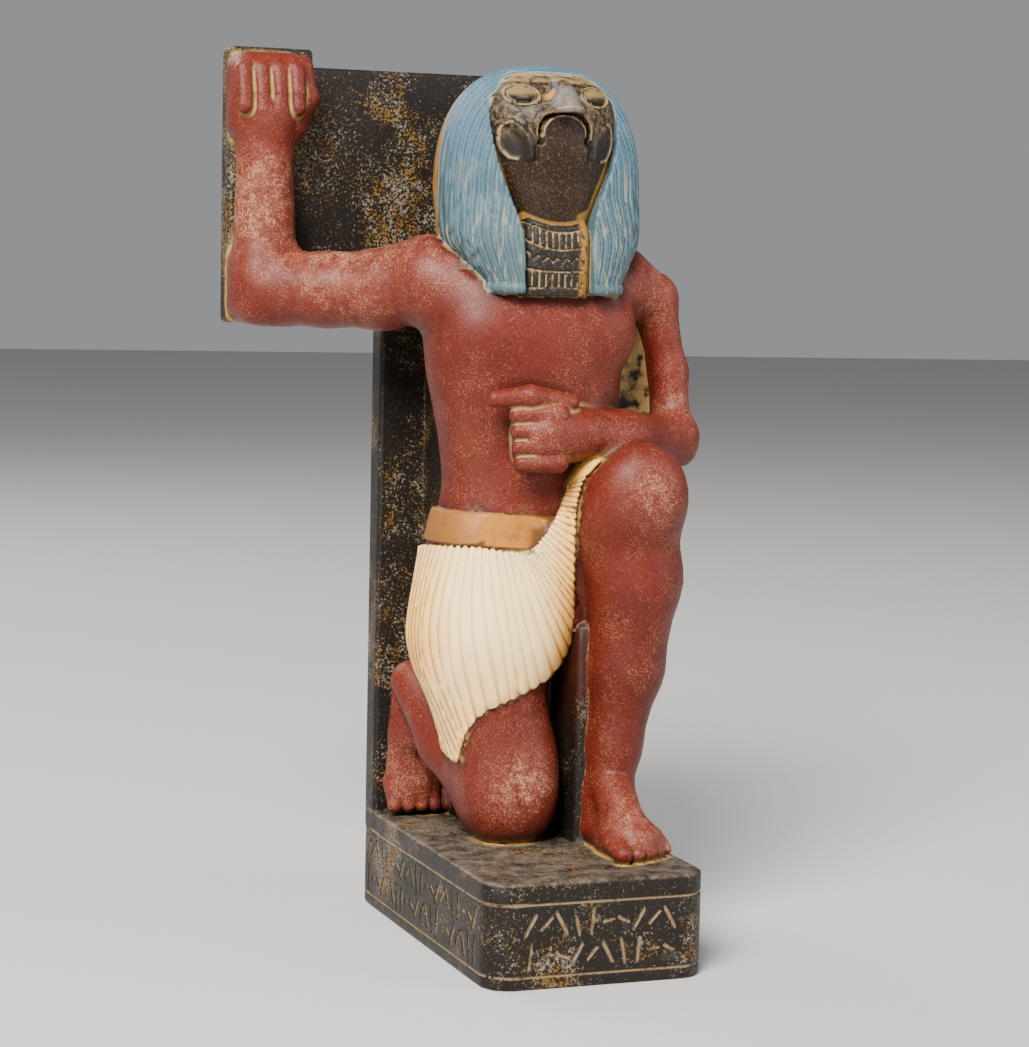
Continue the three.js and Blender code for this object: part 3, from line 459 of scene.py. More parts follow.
def kilt(x, f, h):
    across, level = on_cloth_plane(x, f, h)
    hem = 0.6 * (hem_height(across)[0] - level)
    side = across - cloth_side(level)[0]
    waist = 0.6 * (level - waist_height(across)[0])
    edge = np.maximum(soft_max(hem, side, 0.5), waist)
    cloth = soft_max(hips(x, f, h) - CLOTH, edge, 0.5)
    near = np.abs(cloth) < NEAR_SKIN
    if near.any():
        cloth[near] += PLEAT_DEPTH * ribbed(pleat_at(x[near], f[near], h[near]), PLEAT_PITCH)
    return cloth


BELT_MIDDLE = 87.7
BELT_HALF = 4.7


def belt(x, f, h):
    band = np.abs(h - BELT_MIDDLE + 0.05 * x) - BELT_HALF
    return soft_max(torso(x, f, h) - 1.1, band, 0.8)


# Wig: a dome over the head, narrowed to two lappets on the chest, open in front of the face.
STRAND_PITCH = 3.1
STRAND_DEPTH = 0.45
HALF_STRAND_DEPTH = 0.22
LAPPET_END = 153.5
LIP_RISE = 3
wig_width = curve([[150, 19.6], [156, 21.2], [161.5, 24.4], [168.5, 28.2], [176, 29.2], [183, 29.3]])
wig_section = stack([
    [152, 0.8, 54, 18.9, 11],
    [157, 0.7, 52, 20.6, 13],
    [161.5, 0.3, 49, 24, 15.6],
    [168.5, 0, 45, 28.2, 18.6],
    [176, 0, 43, 29.2, 18.6],
    [WIG_MIDDLE, 0, WIG_CENTRE_F, WIG_HALF, WIG_DEPTH],
    [WIG_MIDDLE + WIG_DEPTH, 0, WIG_CENTRE_F, WIG_HALF, WIG_DEPTH],
], WIG_POWER)
wig_dome = egg([0, WIG_CENTRE_F, WIG_MIDDLE], [WIG_HALF, WIG_DEPTH, WIG_RISE], WIG_POWER)


def strand_at(x, f, h):
    side = np.abs(x)
    above = np.maximum(h - WIG_MIDDLE, 0)
    low = side * WIG_HALF / wig_width(h)[0]
    high = WIG_HALF * ((side / WIG_HALF) ** WIG_POWER + (above / WIG_RISE) ** WIG_POWER) ** (1 / WIG_POWER)
    reach = np.where(h > WIG_MIDDLE, high, low)
    around = np.where(f > WIG_CENTRE_F, reach, 2 * WIG_HALF - reach)
    return 0.9 * around + 60 - f


OPENING_LEAN = 0.7
OPENING_TOP = 211.6
OPENING_ARCH_FOOT = 200
OPENING_ARCH_RISE = OPENING_TOP - OPENING_ARCH_FOOT
OPENING_HALF = 18.5
OPENING_POWER = 2.5
opening_width = curve([
    [150, 9.9], [168, 10], [175, 11.4], [181.5, 13.8], [188.5, 16.4], [195, 18],
    [OPENING_ARCH_FOOT, OPENING_HALF],
])


def face_opening(x, f, h):
    rise = np.maximum(h - OPENING_ARCH_FOOT, 0) / OPENING_ARCH_RISE
    arch = OPENING_HALF * np.maximum(1 - rise ** OPENING_POWER, 0) ** (1 / OPENING_POWER)
    half = np.where(h > OPENING_ARCH_FOOT, arch, opening_width(h)[0])
    lean = OPENING_LEAN * np.clip((195 - h) / 20, 0, 1)
    return np.maximum.reduce([np.abs(x + lean) - half, h - OPENING_TOP, 44 - f])


def strands(x, f, h):
    at = strand_at(x, f, h)
    whole = STRAND_DEPTH * ribbed(at, STRAND_PITCH)
    return np.maximum(whole, HALF_STRAND_DEPTH * ribbed(at + STRAND_PITCH / 2, STRAND_PITCH))


# The lappets end in smooth rolled lips.
def wig(x, f, h):
    shell = np.where(h > WIG_MIDDLE, wig_dome(x, f, h), wig_section(x, f, h))
    lip = (h - LAPPET_END) / LIP_RISE
    roll = 0.9 * np.sqrt(np.clip(4 * lip * (1 - lip), 0, 1)) - 0.5
    relief = np.where(lip < 1, -roll, strands(x, f, h))
    carved = shell + np.where(shell > -NEAR_SKIN, relief, 0)
    return soft_max(np.maximum(carved, LAPPET_END - h), -face_opening(x, f, h), 0.9)


# Falcon's face: drawn lines are raised on it in front view, mirrored about its middle.
EYE = [10.7, 207.3]
CHEEK_LINE = [
    [14, 199.9], [15.7, 199.4], [16.6, 197.4], [16.6, 194.4], [15.7, 192], [14.1, 190.2], [12.2, 189.8],
]
CHEEK_RIDGE = [[14, 199.6], [12, 198.2], [10.5, 196], [9.7, 193.4], [9.4, 190.4]]
CHEEK_GROOVE = [[9.6, 199], [8.6, 196], [7.9, 192.6], [7.7, 189.6]]
BROW_LINE = [[2, 211.2], [5.4, 210.7], [8.3, 211], [11.5, 211.6], [14.8, 210.8], [17, 208.2]]
MOUTH_ARCH = [[0, 203.5], [3.2, 203], [5.7, 201.5], [7.1, 199.4], [7.5, 197.4], [7, 195]]
LOWER_LIP = [[0, 201.9], [2.3, 201.6], [4.4, 200.3], [5.9, 198.4], [6.3, 196]]
MOUTH_DEPTH = 1.3

face_block = stack([
    [153, 0, 50, 9.6, 12.4],
    [172, 0, 48, 11, 12.2],
    [178, 0, 47, 13.6, 13],
    [188, 0, 46, 17.5, 14.6],
    [200, 0, 45, 19.6, 15],
    [206, 0, 44.5, 19.2, 14.6],
    [211, 0, 43, 16, 12.6],
    [214, 0, 42, 12, 8],
], 2.8)
throat = egg([0, 49, 184.5], [10.8, 13.2, 18], 2.2)
muzzle = egg([0, 51, 196.5], [10.6, 11.6, 9.4], 3.6)
arch_height = curve([
    [-1, 203.5], [0, 203.5], [3.2, 203], [5.7, 201.5], [7.1, 199.4], [7.6, 196], [8, 190], [30, 190],
])
beak_body = stack([
    [199, 0, 59, 4.4, 10.6],
    [203, 0, 59, 6, 11],
    [205, 0, 59, 4.7, 10.8],
    [207, 0, 59, 3.6, 9.6],
    [209, 0, 59, 2.9, 7.2],
    [210.6, 0, 58.5, 2.5, 4],
    [212, 0, 57, 2, 2.5],
], 1.9)


def eye_ring(side, h):
    return distance((side - EYE[0]) / 4.5, (h - EYE[1]) / 2.8)


# How far inside the mouth's arch a place is, in front view.
def inside_mouth(side, h):
    gap = line_distance(MOUTH_ARCH, side, h)
    return np.where(h < arch_height(side)[0], gap, -gap)


# Thin lines that stand up from the face and are picked out in pale paint.
def face_lines(side, h):
    ring = eye_ring(side, h)
    return (ridge(line_distance(CHEEK_LINE, side, h), 0.5)
            + ridge(line_distance(LOWER_LIP, side, h), 0.42)
            + 0.8 * ridge(inside_mouth(side, h) + 0.45, 0.4)
            + ridge(ring - 1, 0.1)
            + 0.7 * ridge(ring - 0.78, 0.07))


def face_relief(side, h):
    ball = distance((side - EYE[0]) / 3.1, (h - EYE[1]) / 1.8)
    inside = inside_mouth(side, h)
    return (0.45 * face_lines(side, h)
            + 0.8 * ridge(line_distance(CHEEK_RIDGE, side, h), 1.1)
            - 0.5 * ridge(line_distance(CHEEK_GROOVE, side, h), 0.7)
            - 0.5 * ridge(line_distance(BROW_LINE, side, h), 0.6)
            + 0.5 * ridge(inside + 1.4, 0.9)
            - MOUTH_DEPTH * ridge(inside - 0.5, 0.6)
            + 1.1 * np.sqrt(np.maximum(1 - ball * ball, 0))
            - 0.4 * ridge(eye_ring(side, h) - 0.88, 0.08))


def beak(x, f, h):
    under = arch_height(np.abs(x))[0] - 0.17 * (f - 62) - h
    return soft_max(beak_body(x, f, h), under, 0.6)


def face(x, f, h):
    plain = soft_min(soft_min(face_block(x, f, h), throat(x, f, h), 2.5), muzzle(x, f, h), 5)
    near = (np.abs(plain) < NEAR_SKIN) & (f > 46)
    if near.any():
        plain[near] -= face_relief(np.abs(x[near]), h[near])
    return soft_min(plain, beak(x, f, h), 1.6)


# Broad collar between the lappets: grooved lines across it, rows of upright ticks and a waved line.
COLLAR_LINES = [170.2, 165.5, 159.6, 155.2]
COLLAR_TOP = 172
COLLAR_FOOT = 153
COLLAR_RIGHT = 6.2
TICK_ROWS = [[167.9, 2], [157.4, 1.7]]
TICK_PITCH = 1.85
WAVE_HEIGHT = 161.8
WAVE_RISE = 1.3
WAVE_PITCH = 2.7
collar_band = egg([-0.7, 50, 162], [11, 13.2, 14], 4)


# Heights on the collar, counted along lines that hang lower in the middle towards the top.
def collar_level(x, h):
    return h - 0.03 * np.clip((h - 157) / 12, 0, 1) * x * x


def collar_grooves(x, h):
    level = collar_level(x, h)
    depth = sum(ridge(level - at, 0.28) for at in COLLAR_LINES)
    tick = ridge((np.mod(x / TICK_PITCH, 1) - 0.5) * TICK_PITCH, 0.3)
    for middle, half in TICK_ROWS:
        depth = depth + np.where(np.abs(level - middle) < half, tick, 0)
    wave = WAVE_HEIGHT + WAVE_RISE * np.abs(np.sin(np.pi * x / WAVE_PITCH))
    depth = depth + 0.8 * ridge(level - wave, 0.3)
    return np.clip(depth, 0, 1) * (x < COLLAR_RIGHT)


def collar(x, f, h):
    level = collar_level(x, h)
    band = np.maximum(collar_band(x, f, h), np.maximum(level - COLLAR_TOP, COLLAR_FOOT - h))
    return band + 0.45 * collar_grooves(x, h)


# Base and slab, with the two lines and the rows of short slanted strokes cut into them.
def plate(half, centre, corner, low, high, edge):
    def field(x, y, z):
        qx = np.abs(x - centre[0]) - half[0] + corner
        qy = np.abs(y - centre[1]) - half[1] + corner
        side = distance(np.maximum(qx, 0), np.maximum(qy, 0)) + np.minimum(np.maximum(qx, qy), 0) - corner
        rise = np.maximum(low - z, z - high)
        outside = distance(np.maximum(side + edge, 0), np.maximum(rise + edge, 0))
        return outside + np.minimum(np.maximum(side, rise) + edge, 0) - edge
    return field


STROKE_TILTS = [6, -28, 30, 82, -10, 42, -60]
STROKE_GAP = 0.8
FIELD_MARGIN = 1.2


def stroke_marks(along, z, length):
    low = BOTTOM_LINE_RISE + FIELD_MARGIN
    row_height = (BASE_HEIGHT - TOP_LINE_DROP - FIELD_MARGIN - low) / STROKE_ROWS
    count = int(length // STROKE_PITCH)
    depth = np.zeros_like(along)
    for row in range(STROKE_ROWS):
        for i in range(count):
            tilt = np.radians(STROKE_TILTS[(i * 3 + row * 2) % len(STROKE_TILTS)])
            tall = (row_height - STROKE_GAP) / abs(np.cos(tilt))
            wide = (STROKE_PITCH - STROKE_GAP) / abs(np.sin(tilt))
            reach = (min(tall, wide) - STROKE_WIDTH) / 2
            place = (i + 0.5 - count / 2) * STROKE_PITCH
            level = low + (row + 0.5) * row_height
            lean = np.array([np.sin(tilt), np.cos(tilt)]) * reach
            ends = [[place - lean[0], level - lean[1]], [place + lean[0], level + lean[1]]]
            gap = line_distance(ends, along, z)
            depth = np.maximum(depth, np.clip(1.3 - gap / (STROKE_WIDTH / 2), 0, 1))
    return depth


FLAT_LENGTH = 2 * (BASE_HALF - BASE_FRONT_CORNER)
SIDE_LENGTH = BASE_LENGTH - BASE_FRONT_CORNER - BASE_BACK_CORNER
SIDE_MIDDLE = (BASE_FRONT_CORNER - BASE_BACK_CORNER) / 2


def base_marks(x, y, z):
    line_gap = np.minimum(np.abs(z - BASE_HEIGHT + TOP_LINE_DROP), np.abs(z - BOTTOM_LINE_RISE))
    lines = np.clip(1.3 - line_gap / (LINE_WIDTH / 2), 0, 1) * (y < BASE_LENGTH / 2 - 1)
    front = (y < -BASE_LENGTH / 2 + 1.5)
    left = (x < -BASE_HALF + 1.5) & ~front
    strokes = np.zeros_like(x)
    if front.any():
        strokes[front] = stroke_marks(x[front], z[front], FLAT_LENGTH)
    if left.any():
        strokes[left] = stroke_marks(SIDE_MIDDLE - y[left], z[left], SIDE_LENGTH)
    return lines, strokes


front_part = plate([BASE_HALF, BASE_LENGTH / 2], [0, 0], BASE_FRONT_CORNER, 0, BASE_HEIGHT, BASE_EDGE_ROUND)
BACK_HALF = BASE_LENGTH / 4
back_part = plate([BASE_HALF, BACK_HALF], [0, BASE_LENGTH / 2 - BACK_HALF], BASE_BACK_CORNER,
                  0, BASE_HEIGHT, BASE_EDGE_ROUND)


def base(x, y, z):
    plain = np.minimum(front_part(x, y, z), back_part(x, y, z))
    near = np.abs(plain) < NEAR_SKIN
    if near.any():
        lines, strokes = base_marks(x[near], y[near], z[near])
        plain[near] += np.maximum(LINE_DEPTH * lines, STROKE_DEPTH * strokes)
    return plain


SLAB_MIDDLE_Y = BASE_LENGTH / 2 - SLAB_THICKNESS / 2
PANEL_TOP = BASE_HEIGHT + FIGURE_HEIGHT
PANEL_FOOT = BASE_HEIGHT + ARM_UNDERSIDE


def upright(left, right, low, high):
    centre = [(left + right) / 2, SLAB_MIDDLE_Y, (low + high) / 2]
    half = [(right - left) / 2, SLAB_THICKNESS / 2, (high - low) / 2]
    return block(centre, half, SLAB_EDGE_ROUND)


pillar = upright(-BASE_HALF, BASE_HALF, BASE_HEIGHT - 6, PANEL_TOP)
PANEL_LEFT = ARM_LEFT + FIGURE_SHIFT
panel = upright(PANEL_LEFT, BASE_HALF, PANEL_FOOT, PANEL_TOP)
tab = upright(PANEL_LEFT, FIST_RIGHT + FIGURE_SHIFT + TAB_RISE / 2, PANEL_TOP - 20, PANEL_TOP + TAB_RISE)


def slab(x, y, z):
    return np.minimum.reduce([pillar(x, y, z), panel(x, y, z), tab(x, y, z)])


dress_belt = within([-4, 42, 88], 45, belt)
dress_kilt = within([-4, 42, 68], 62, kilt)
head_wig = within([0, 44, 182], 46, wig)
head_face = within([0, 48, 184], 40, face)
head_collar = within([0, 50, 165], 24, collar)


# Figure coordinates of a place in the object's own millimetres.
def figure_place(x, y, z):
    return x - FIGURE_SHIFT, SLAB_FRONT_Y - y, z - BASE_HEIGHT


# Each zone's field at a place in the object's own millimetres.
def zones(x, y, z):
    across, f, h = figure_place(x, y, z)
    head = across - HEAD_MIDDLE
    return {
        "base": base(x, y, z),
        "slab": slab(x, y, z),
        "web": webs(across, f, h),
        "skin": body(across, f, h),
        "kilt": dress_kilt(across, f, h),
        "belt": dress_belt(across, f, h),
        "wig": head_wig(head, f, h),
        "face": head_face(head, f, h),
        "collar": head_collar(head, f, h),
    }


# The figure reaches a little way into the slab and the base.
BURY = 2


def statue(x, y, z):
    found = zones(x, y, z)
    stone = soft_min(found["skin"], found["web"], 1)
    dress = [found[name] for name in ("kilt", "belt", "wig", "face", "collar")]
    carved = np.minimum.reduce([stone, *dress])
    carved = np.maximum(carved, np.maximum(y - SLAB_FRONT_Y - BURY, BASE_HEIGHT - BURY - z))
    standing = soft_min(carved, np.minimum(found["base"], found["slab"]), 0.8)
    return np.maximum(standing, -z)


# Surface of a field: sampled on a grid, finely only where it passes, then joined into faces.
CELL = 0.5
STRIDE = 4
NEAR = 1.7
REGION = 8
LOW = np.array([-80.0, -57.0, -2.0])
HIGH = np.array([55.0, 57.0, 254.0])


def grid_values(field):
    steps = np.ceil((HIGH - LOW) / (CELL * STRIDE)).astype(int)
    axes = [LOW[i] + CELL * STRIDE * np.arange(steps[i] + 1) for i in range(3)]
    coarse = np.empty(steps + 1, np.float32)
    for k in range(0, steps[2] + 1, REGION):
        for i in range(0, steps[0] + 1, REGION):
            part = np.s_[i:i + REGION, :, k:k + REGION]
            x, y, z = np.meshgrid(axes[0][part[0]], axes[1], axes[2][part[2]], indexing="ij")
            coarse[part] = field(x.ravel(), y.ravel(), z.ravel()).reshape(x.shape)
    nearest = np.full(steps, np.inf, np.float32)
    for di in (0, 1):
        for dj in (0, 1):
            for dk in (0, 1):
                corner = coarse[di:steps[0] + di, dj:steps[1] + dj, dk:steps[2] + dk]
                nearest = np.minimum(nearest, np.abs(corner))
    near = nearest < NEAR * CELL * STRIDE * np.sqrt(3) / 2
    values = coarse[:-1, :-1, :-1].repeat(STRIDE, 0).repeat(STRIDE, 1).repeat(STRIDE, 2)
    inner = np.arange(STRIDE)
    offsets = np.array(np.meshgrid(inner, inner, inner, indexing="ij")).reshape(3, -1)
    for k in range(0, steps[2], REGION):
        for j in range(0, steps[1], REGION):
            for i in range(0, steps[0], REGION):
                cells = np.argwhere(near[i:i + REGION, j:j + REGION, k:k + REGION])
                if not len(cells):
                    continue
                first = (cells + [i, j, k]) * STRIDE
                index = (first[:, :, None] + offsets[None]).transpose(1, 0, 2).reshape(3, -1)
                place = LOW[:, None] + CELL * index
                values[index[0], index[1], index[2]] = field(*place)
    return values


CORNERS = np.array([[i, j, k] for i in (0, 1) for j in (0, 1) for k in (0, 1)])
EDGES = [(a, b) for a in range(8) for b in range(a + 1, 8) if np.abs(CORNERS[a] - CORNERS[b]).sum() == 1]


def surface(values):
    inside = values < 0
    size = np.array(values.shape) - 1
    count = np.zeros(size, np.uint8)
    for i, j, k in CORNERS:
        count += inside[i:size[0] + i, j:size[1] + j, k:size[2] + k]
    cells = np.argwhere((count > 0) & (count < 8))
    at = [values[tuple((cells + corner).T)] for corner in CORNERS]
    total = np.zeros((len(cells), 3))
    crossings = np.zeros(len(cells))
    for a, b in EDGES:
        crossed = (at[a] < 0) != (at[b] < 0)
        share = np.where(crossed, at[a] / np.where(crossed, at[a] - at[b], 1), 0)
        total += crossed[:, None] * (CORNERS[a] + share[:, None] * (CORNERS[b] - CORNERS[a]))
        crossings += crossed
    points = LOW + CELL * (cells + total / crossings[:, None])
    number = np.full(size, -1, np.int32)
    number[tuple(cells.T)] = np.arange(len(cells))
    faces = []
    for axis in range(3):
        first = [slice(None)] * 3
        second = [slice(None)] * 3
        first[axis], second[axis] = slice(0, -1), slice(1, None)
        nodes = np.argwhere(inside[tuple(first)] != inside[tuple(second)])
        u, v = (axis + 1) % 3, (axis + 2) % 3
        step_u, step_v = np.eye(3, dtype=int)[u], np.eye(3, dtype=int)[v]
        ring = [nodes - step_u - step_v, nodes - step_v, nodes, nodes - step_u]
        quads = np.stack([number[tuple(corner.T)] for corner in ring], 1)
        outward = inside[tuple(nodes.T)]
        quads[~outward] = quads[~outward][:, ::-1]
        faces.append(quads)
    return points, np.concatenate(faces)


def mesh_of(name, points, faces):
    mesh = bpy.data.meshes.new(name)
    sides = faces.shape[1]
    mesh.vertices.add(len(points))
    mesh.vertices.foreach_set("co", (points * MILLIMETRE).astype(np.float32).ravel())
    mesh.loops.add(faces.size)
    mesh.loops.foreach_set("vertex_index", faces.astype(np.int32).ravel())
    mesh.polygons.add(len(faces))
    mesh.polygons.foreach_set("loop_start", np.arange(0, faces.size, sides, dtype=np.int32))
    mesh.update(calc_edges=True)
    return mesh


def vertices_of(mesh):
    flat = np.empty(3 * len(mesh.vertices), np.float32)
    mesh.vertices.foreach_get("co", flat)
    return flat.reshape(-1, 3).astype(float) / MILLIMETRE


# The statue's mesh: fewer faces where it is plain, each point then moved onto the field's zero.
FACE_TARGET = 150000
SMALL_STEP = 0.12


def slope(points):
    parts = []
    for axis in np.eye(3) * SMALL_STEP:
        ahead, behind = (points + axis).T, (points - axis).T
        parts.append((statue(*ahead) - statue(*behind)) / (2 * SMALL_STEP))
    return np.stack(parts, 1)


def settled(points):
    for _ in range(2):
        rise = slope(points)
        steep = np.maximum((rise ** 2).sum(1), 0.2)
        move = np.clip(statue(*points.T) / steep, -CELL, CELL)
        points = points - rise * move[:, None]
    return points


# Where fine carving is, the thinning is held back.
FINE_PLACES = [
    [[0, -14, 232], 24],
    [[0, -16, 196], 17],
    [[-66, 34, 236], 20],
    [[-8, -20, 145], 16],
    [[20, -38, 33], 16],
    [[-25, 34, 33], 12],
]


def fineness(points):
    weight = np.zeros(len(points))
    for place, reach in FINE_PLACES:
        weight = np.maximum(weight, np.clip(1.4 - distance(*(points - place).T) / reach, 0, 1))
    return weight


# Thinning leaves long thin faces on the flat stone; they are cut up, so that marks aren't drawn out there.
LONGEST_EDGE = 8
SPLITS = 5


def split_long_edges(mesh):
    work = bmesh.new()
    work.from_mesh(mesh)
    for _ in range(SPLITS):
        long_edges = [edge for edge in work.edges if edge.calc_length() > LONGEST_EDGE * MILLIMETRE]
        bmesh.ops.subdivide_edges(work, edges=long_edges, cuts=1)
        bmesh.ops.triangulate(work, faces=[face for face in work.faces if len(face.verts) > 3])
    work.to_mesh(mesh)
    work.free()
    mesh.validate()


def thinned(mesh, points):
    rough = bpy.data.objects.new("rough", mesh)
    bpy.context.collection.objects.link(rough)
    group = rough.vertex_groups.new(name="fine")
    weight = np.round(fineness(points), 1)
    for level in np.unique(weight):
        if level > 0:
            group.add(np.flatnonzero(weight == level).tolist(), float(level), "REPLACE")
    modifier = rough.modifiers.new("thin", "DECIMATE")
    modifier.ratio = FACE_TARGET / (2 * len(mesh.polygons))
    modifier.vertex_group = group.name
    modifier.invert_vertex_group = True
    modifier.vertex_group_factor = 1.5
    graph = bpy.context.evaluated_depsgraph_get()
    result = bpy.data.meshes.new_from_object(rough.evaluated_get(graph))
    bpy.data.objects.remove(rough)
    split_long_edges(result)
    return result


def put(mesh, name, values):
    attribute = mesh.attributes.new(name, "FLOAT", "POINT")
    attribute.data.foreach_set("value", np.asarray(values, np.float32))


# What the paint needs to know at each point: which zone it is in, how deep it lies, what is drawn there.
ZONE_REACH = 4


def record_marks(mesh, points, normals):
    x, y, z = points.T
    across, f, h = figure_place(x, y, z)
    head = across - HEAD_MIDDLE
    found = zones(x, y, z)
    values = np.stack(list(found.values()))
    for i, name in enumerate(found):
        margin = np.delete(values, i, 0).min(0) - values[i]
        put(mesh, "zone_" + name, np.clip(margin, -ZONE_REACH, ZONE_REACH))
    put(mesh, "to_figure", np.clip(values[3:].min(0), 0, 12))
    put(mesh, "to_stone", np.clip(values[:2].min(0), 0, 12))
    # How far in each point lies at two reaches; the paint darkens the skin there as painted shade, and also
    # puts ochre in creases.
    for name, reach in (("crease", 0.8), ("hollow_shade", 3.5)):
        outside = statue(*(points + normals * reach).T)
        put(mesh, name, np.clip(1 - outside / reach, 0, 2))
    put(mesh, "crest", np.clip(1 + statue(*(points - normals * 1.2).T) / 1.2, 0, 2))
    put(mesh, "strand", 2 * strand_at(head, f, h) / STRAND_PITCH)
    put(mesh, "pleat", pleat_at(across, f, h) / PLEAT_PITCH)
    put(mesh, "drawn", face_lines(np.abs(head), h))
    put(mesh, "collar_cut", collar_grooves(head, h))
    put(mesh, "mouth", inside_mouth(np.abs(head), h))
    put(mesh, "eye", np.clip(1.6 - eye_ring(np.abs(head), h), 0, 1.6))
    lines, strokes = base_marks(x, y, z)
    put(mesh, "cut_line", lines)
    put(mesh, "cut_stroke", strokes)


def make_statue():
    points, faces = surface(grid_values(statue))
    mesh = thinned(mesh_of("rough", points, faces), points)
    points = settled(vertices_of(mesh))
    points = np.clip(points, LOW + 1, HIGH - 1)
    mesh.vertices.foreach_set("co", (points * MILLIMETRE).astype(np.float32).ravel())
    normals = slope(points)
    normals /= np.maximum(distance(*normals.T), 1e-6)[:, None]
    mesh.shade_smooth()
    mesh.normals_split_custom_set_from_vertices(normals.astype(np.float32))
    record_marks(mesh, points, normals)
    piece = bpy.data.objects.new("falcon_figure", mesh)
    bpy.context.collection.objects.link(piece)
    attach(piece, "root")
    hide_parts(NODE)
    return piece


# Paint. A material is built from sockets: each helper takes sockets, plain numbers or sRGB colours.
def linear(red, green, blue):
    return tuple(value / 12.92 if value <= 0.04045 else ((value + 0.055) / 1.055) ** 2.4
                 for value in (red, green, blue))


class Paint:
    def __init__(self, name):
        self.material = bpy.data.materials.new(name)
        self.material.use_nodes = True
        self.nodes = self.material.node_tree.nodes
        self.links = self.material.node_tree.links
        self.nodes.clear()
        place = self.nodes.new("ShaderNodeTexCoord").outputs["Object"]
        self.place = self.vector("SCALE", place, scale=1 / MILLIMETRE)

    def feed(self, socket, value):
        if isinstance(value, bpy.types.NodeSocket):
            self.links.new(value, socket)
        elif value is not None:
            if isinstance(value, tuple) and len(value) == 3 and socket.type == "RGBA":
                value = (*linear(*value), 1)
            socket.default_value = value

    def vector(self, operation, *values, scale=None):
        node = self.nodes.new("ShaderNodeVectorMath")
        node.operation = operation
        for socket, value in zip(node.inputs, values):
            self.feed(socket, value)
        self.feed(node.inputs[3], scale)
        return node.outputs["Value" if operation == "DISTANCE" else "Vector"]

    def math(self, operation, a, b=None, clamp=False):
        node = self.nodes.new("ShaderNodeMath")
        node.operation = operation
        node.use_clamp = clamp
        self.feed(node.inputs[0], a)
        self.feed(node.inputs[1], b)
        return node.outputs[0]

    def add(self, *values):
        total = values[0]
        for value in values[1:]:
            total = self.math("ADD", total, value)
        return total

    def times(self, *values):
        product = values[0]
        for value in values[1:]:
            product = self.math("MULTIPLY", product, value)
        return product

    def less(self, value):
        return self.math("SUBTRACT", 1, value)

    def most(self, a, b):
        return self.math("MAXIMUM", a, b)

    # 0 below low, 1 above high, soft between.
    def rise(self, value, low, high):
        node = self.nodes.new("ShaderNodeMapRange")
        node.interpolation_type = "SMOOTHSTEP"
        self.feed(node.inputs["Value"], value)
        node.inputs["From Min"].default_value = low
        node.inputs["From Max"].default_value = high
        return node.outputs["Result"]

    def fall(self, value, low, high):
        return self.less(self.rise(value, low, high))

    def mark(self, name):
        node = self.nodes.new("ShaderNodeAttribute")
        node.attribute_type = "GEOMETRY"
        node.attribute_name = name
        return node.outputs["Fac"]

    def noise(self, size, detail=3, rough=0.5, stretch=(1, 1, 1), shift=0):
        node = self.nodes.new("ShaderNodeTexNoise")
        scale = tuple(value / size for value in stretch)
        place = self.vector("MULTIPLY_ADD", self.place, scale, (shift,) * 3)
        self.feed(node.inputs["Vector"], place)
        node.inputs["Scale"].default_value = 1
        node.inputs["Detail"].default_value = detail
        node.inputs["Roughness"].default_value = rough
        return node.outputs["Fac"]

    # Patches of noise with soft edges.
    def patches(self, size, low, high, detail=3, rough=0.5, shift=0):
        return self.rise(self.noise(size, detail, rough, shift=shift), low, high)

    def mix(self, share, a, b, kind="MIX"):
        node = self.nodes.new("ShaderNodeMix")
        node.data_type = "RGBA"
        node.blend_type = kind
        self.feed(node.inputs[0], share)
        self.feed(node.inputs[6], a)
        self.feed(node.inputs[7], b)
        return node.outputs[2]

    # Layers laid over a tone one after another, each a share, the most of it that shows, and a colour.
    def over(self, tone, *layers):
        for share, most, colour in layers:
            tone = self.mix(self.times(share, most), tone, colour)
        return tone

    def axis(self, i):
        node = self.nodes.new("ShaderNodeSeparateXYZ")
        self.feed(node.inputs[0], self.place)
        return node.outputs[i]

    # A soft ball of influence round a place, 1 at its middle.
    def near(self, place, reach):
        return self.fall(self.vector("DISTANCE", self.place, place), 0, reach)

    def finish(self, colour, roughness, height, depth, gloss=0.25):
        bump = self.nodes.new("ShaderNodeBump")
        bump.inputs["Distance"].default_value = depth * MILLIMETRE
        bump.inputs["Strength"].default_value = 1
        self.feed(bump.inputs["Height"], height)
        shader = self.nodes.new("ShaderNodeBsdfPrincipled")
        self.feed(shader.inputs["Base Color"], colour)
        self.feed(shader.inputs["Roughness"], roughness)
        self.feed(shader.inputs["Normal"], bump.outputs["Normal"])
        shader.inputs["Specular IOR Level"].default_value = gloss
        output = self.nodes.new("ShaderNodeOutputMaterial")
        self.links.new(shader.outputs["BSDF"], output.inputs["Surface"])
        return self.material


OCHRE = (0.55, 0.40, 0.17)
PALE_OCHRE = (0.68, 0.55, 0.32)
DUST = (0.80, 0.64, 0.51)
BLACK = (0.05, 0.04, 0.033)
SOOT = (0.12, 0.095, 0.075)

# Where the red paint is rubbed pale: place, reach and share.
RUBBED = [
    [(-46, 28, 192), 34, 0.9],
    [(-69, 36, 205), 30, 0.7],
    [(-27, 10, 190), 22, 0.85],
    [(34, 8, 184), 20, 0.6],
    [(-7, -14, 46), 16, 0.8],
    [(22, -29, 128), 14, 0.55],
    [(20, -30, 36), 18, 0.7],
    [(43, 3, 150), 16, 0.45],
    [(-5, -20, 145), 15, 0.35],
    [(-22, 38, 42), 18, 0.45],
]
FISTS = [(-6, -14, 143), (-66, 34, 240)]
FIST_REACH = 24
SHIN = (22, -12, 78)
DUSTY_PANEL = [[(-56, 46, 222), 26], [(-52, 46, 182), 20]]


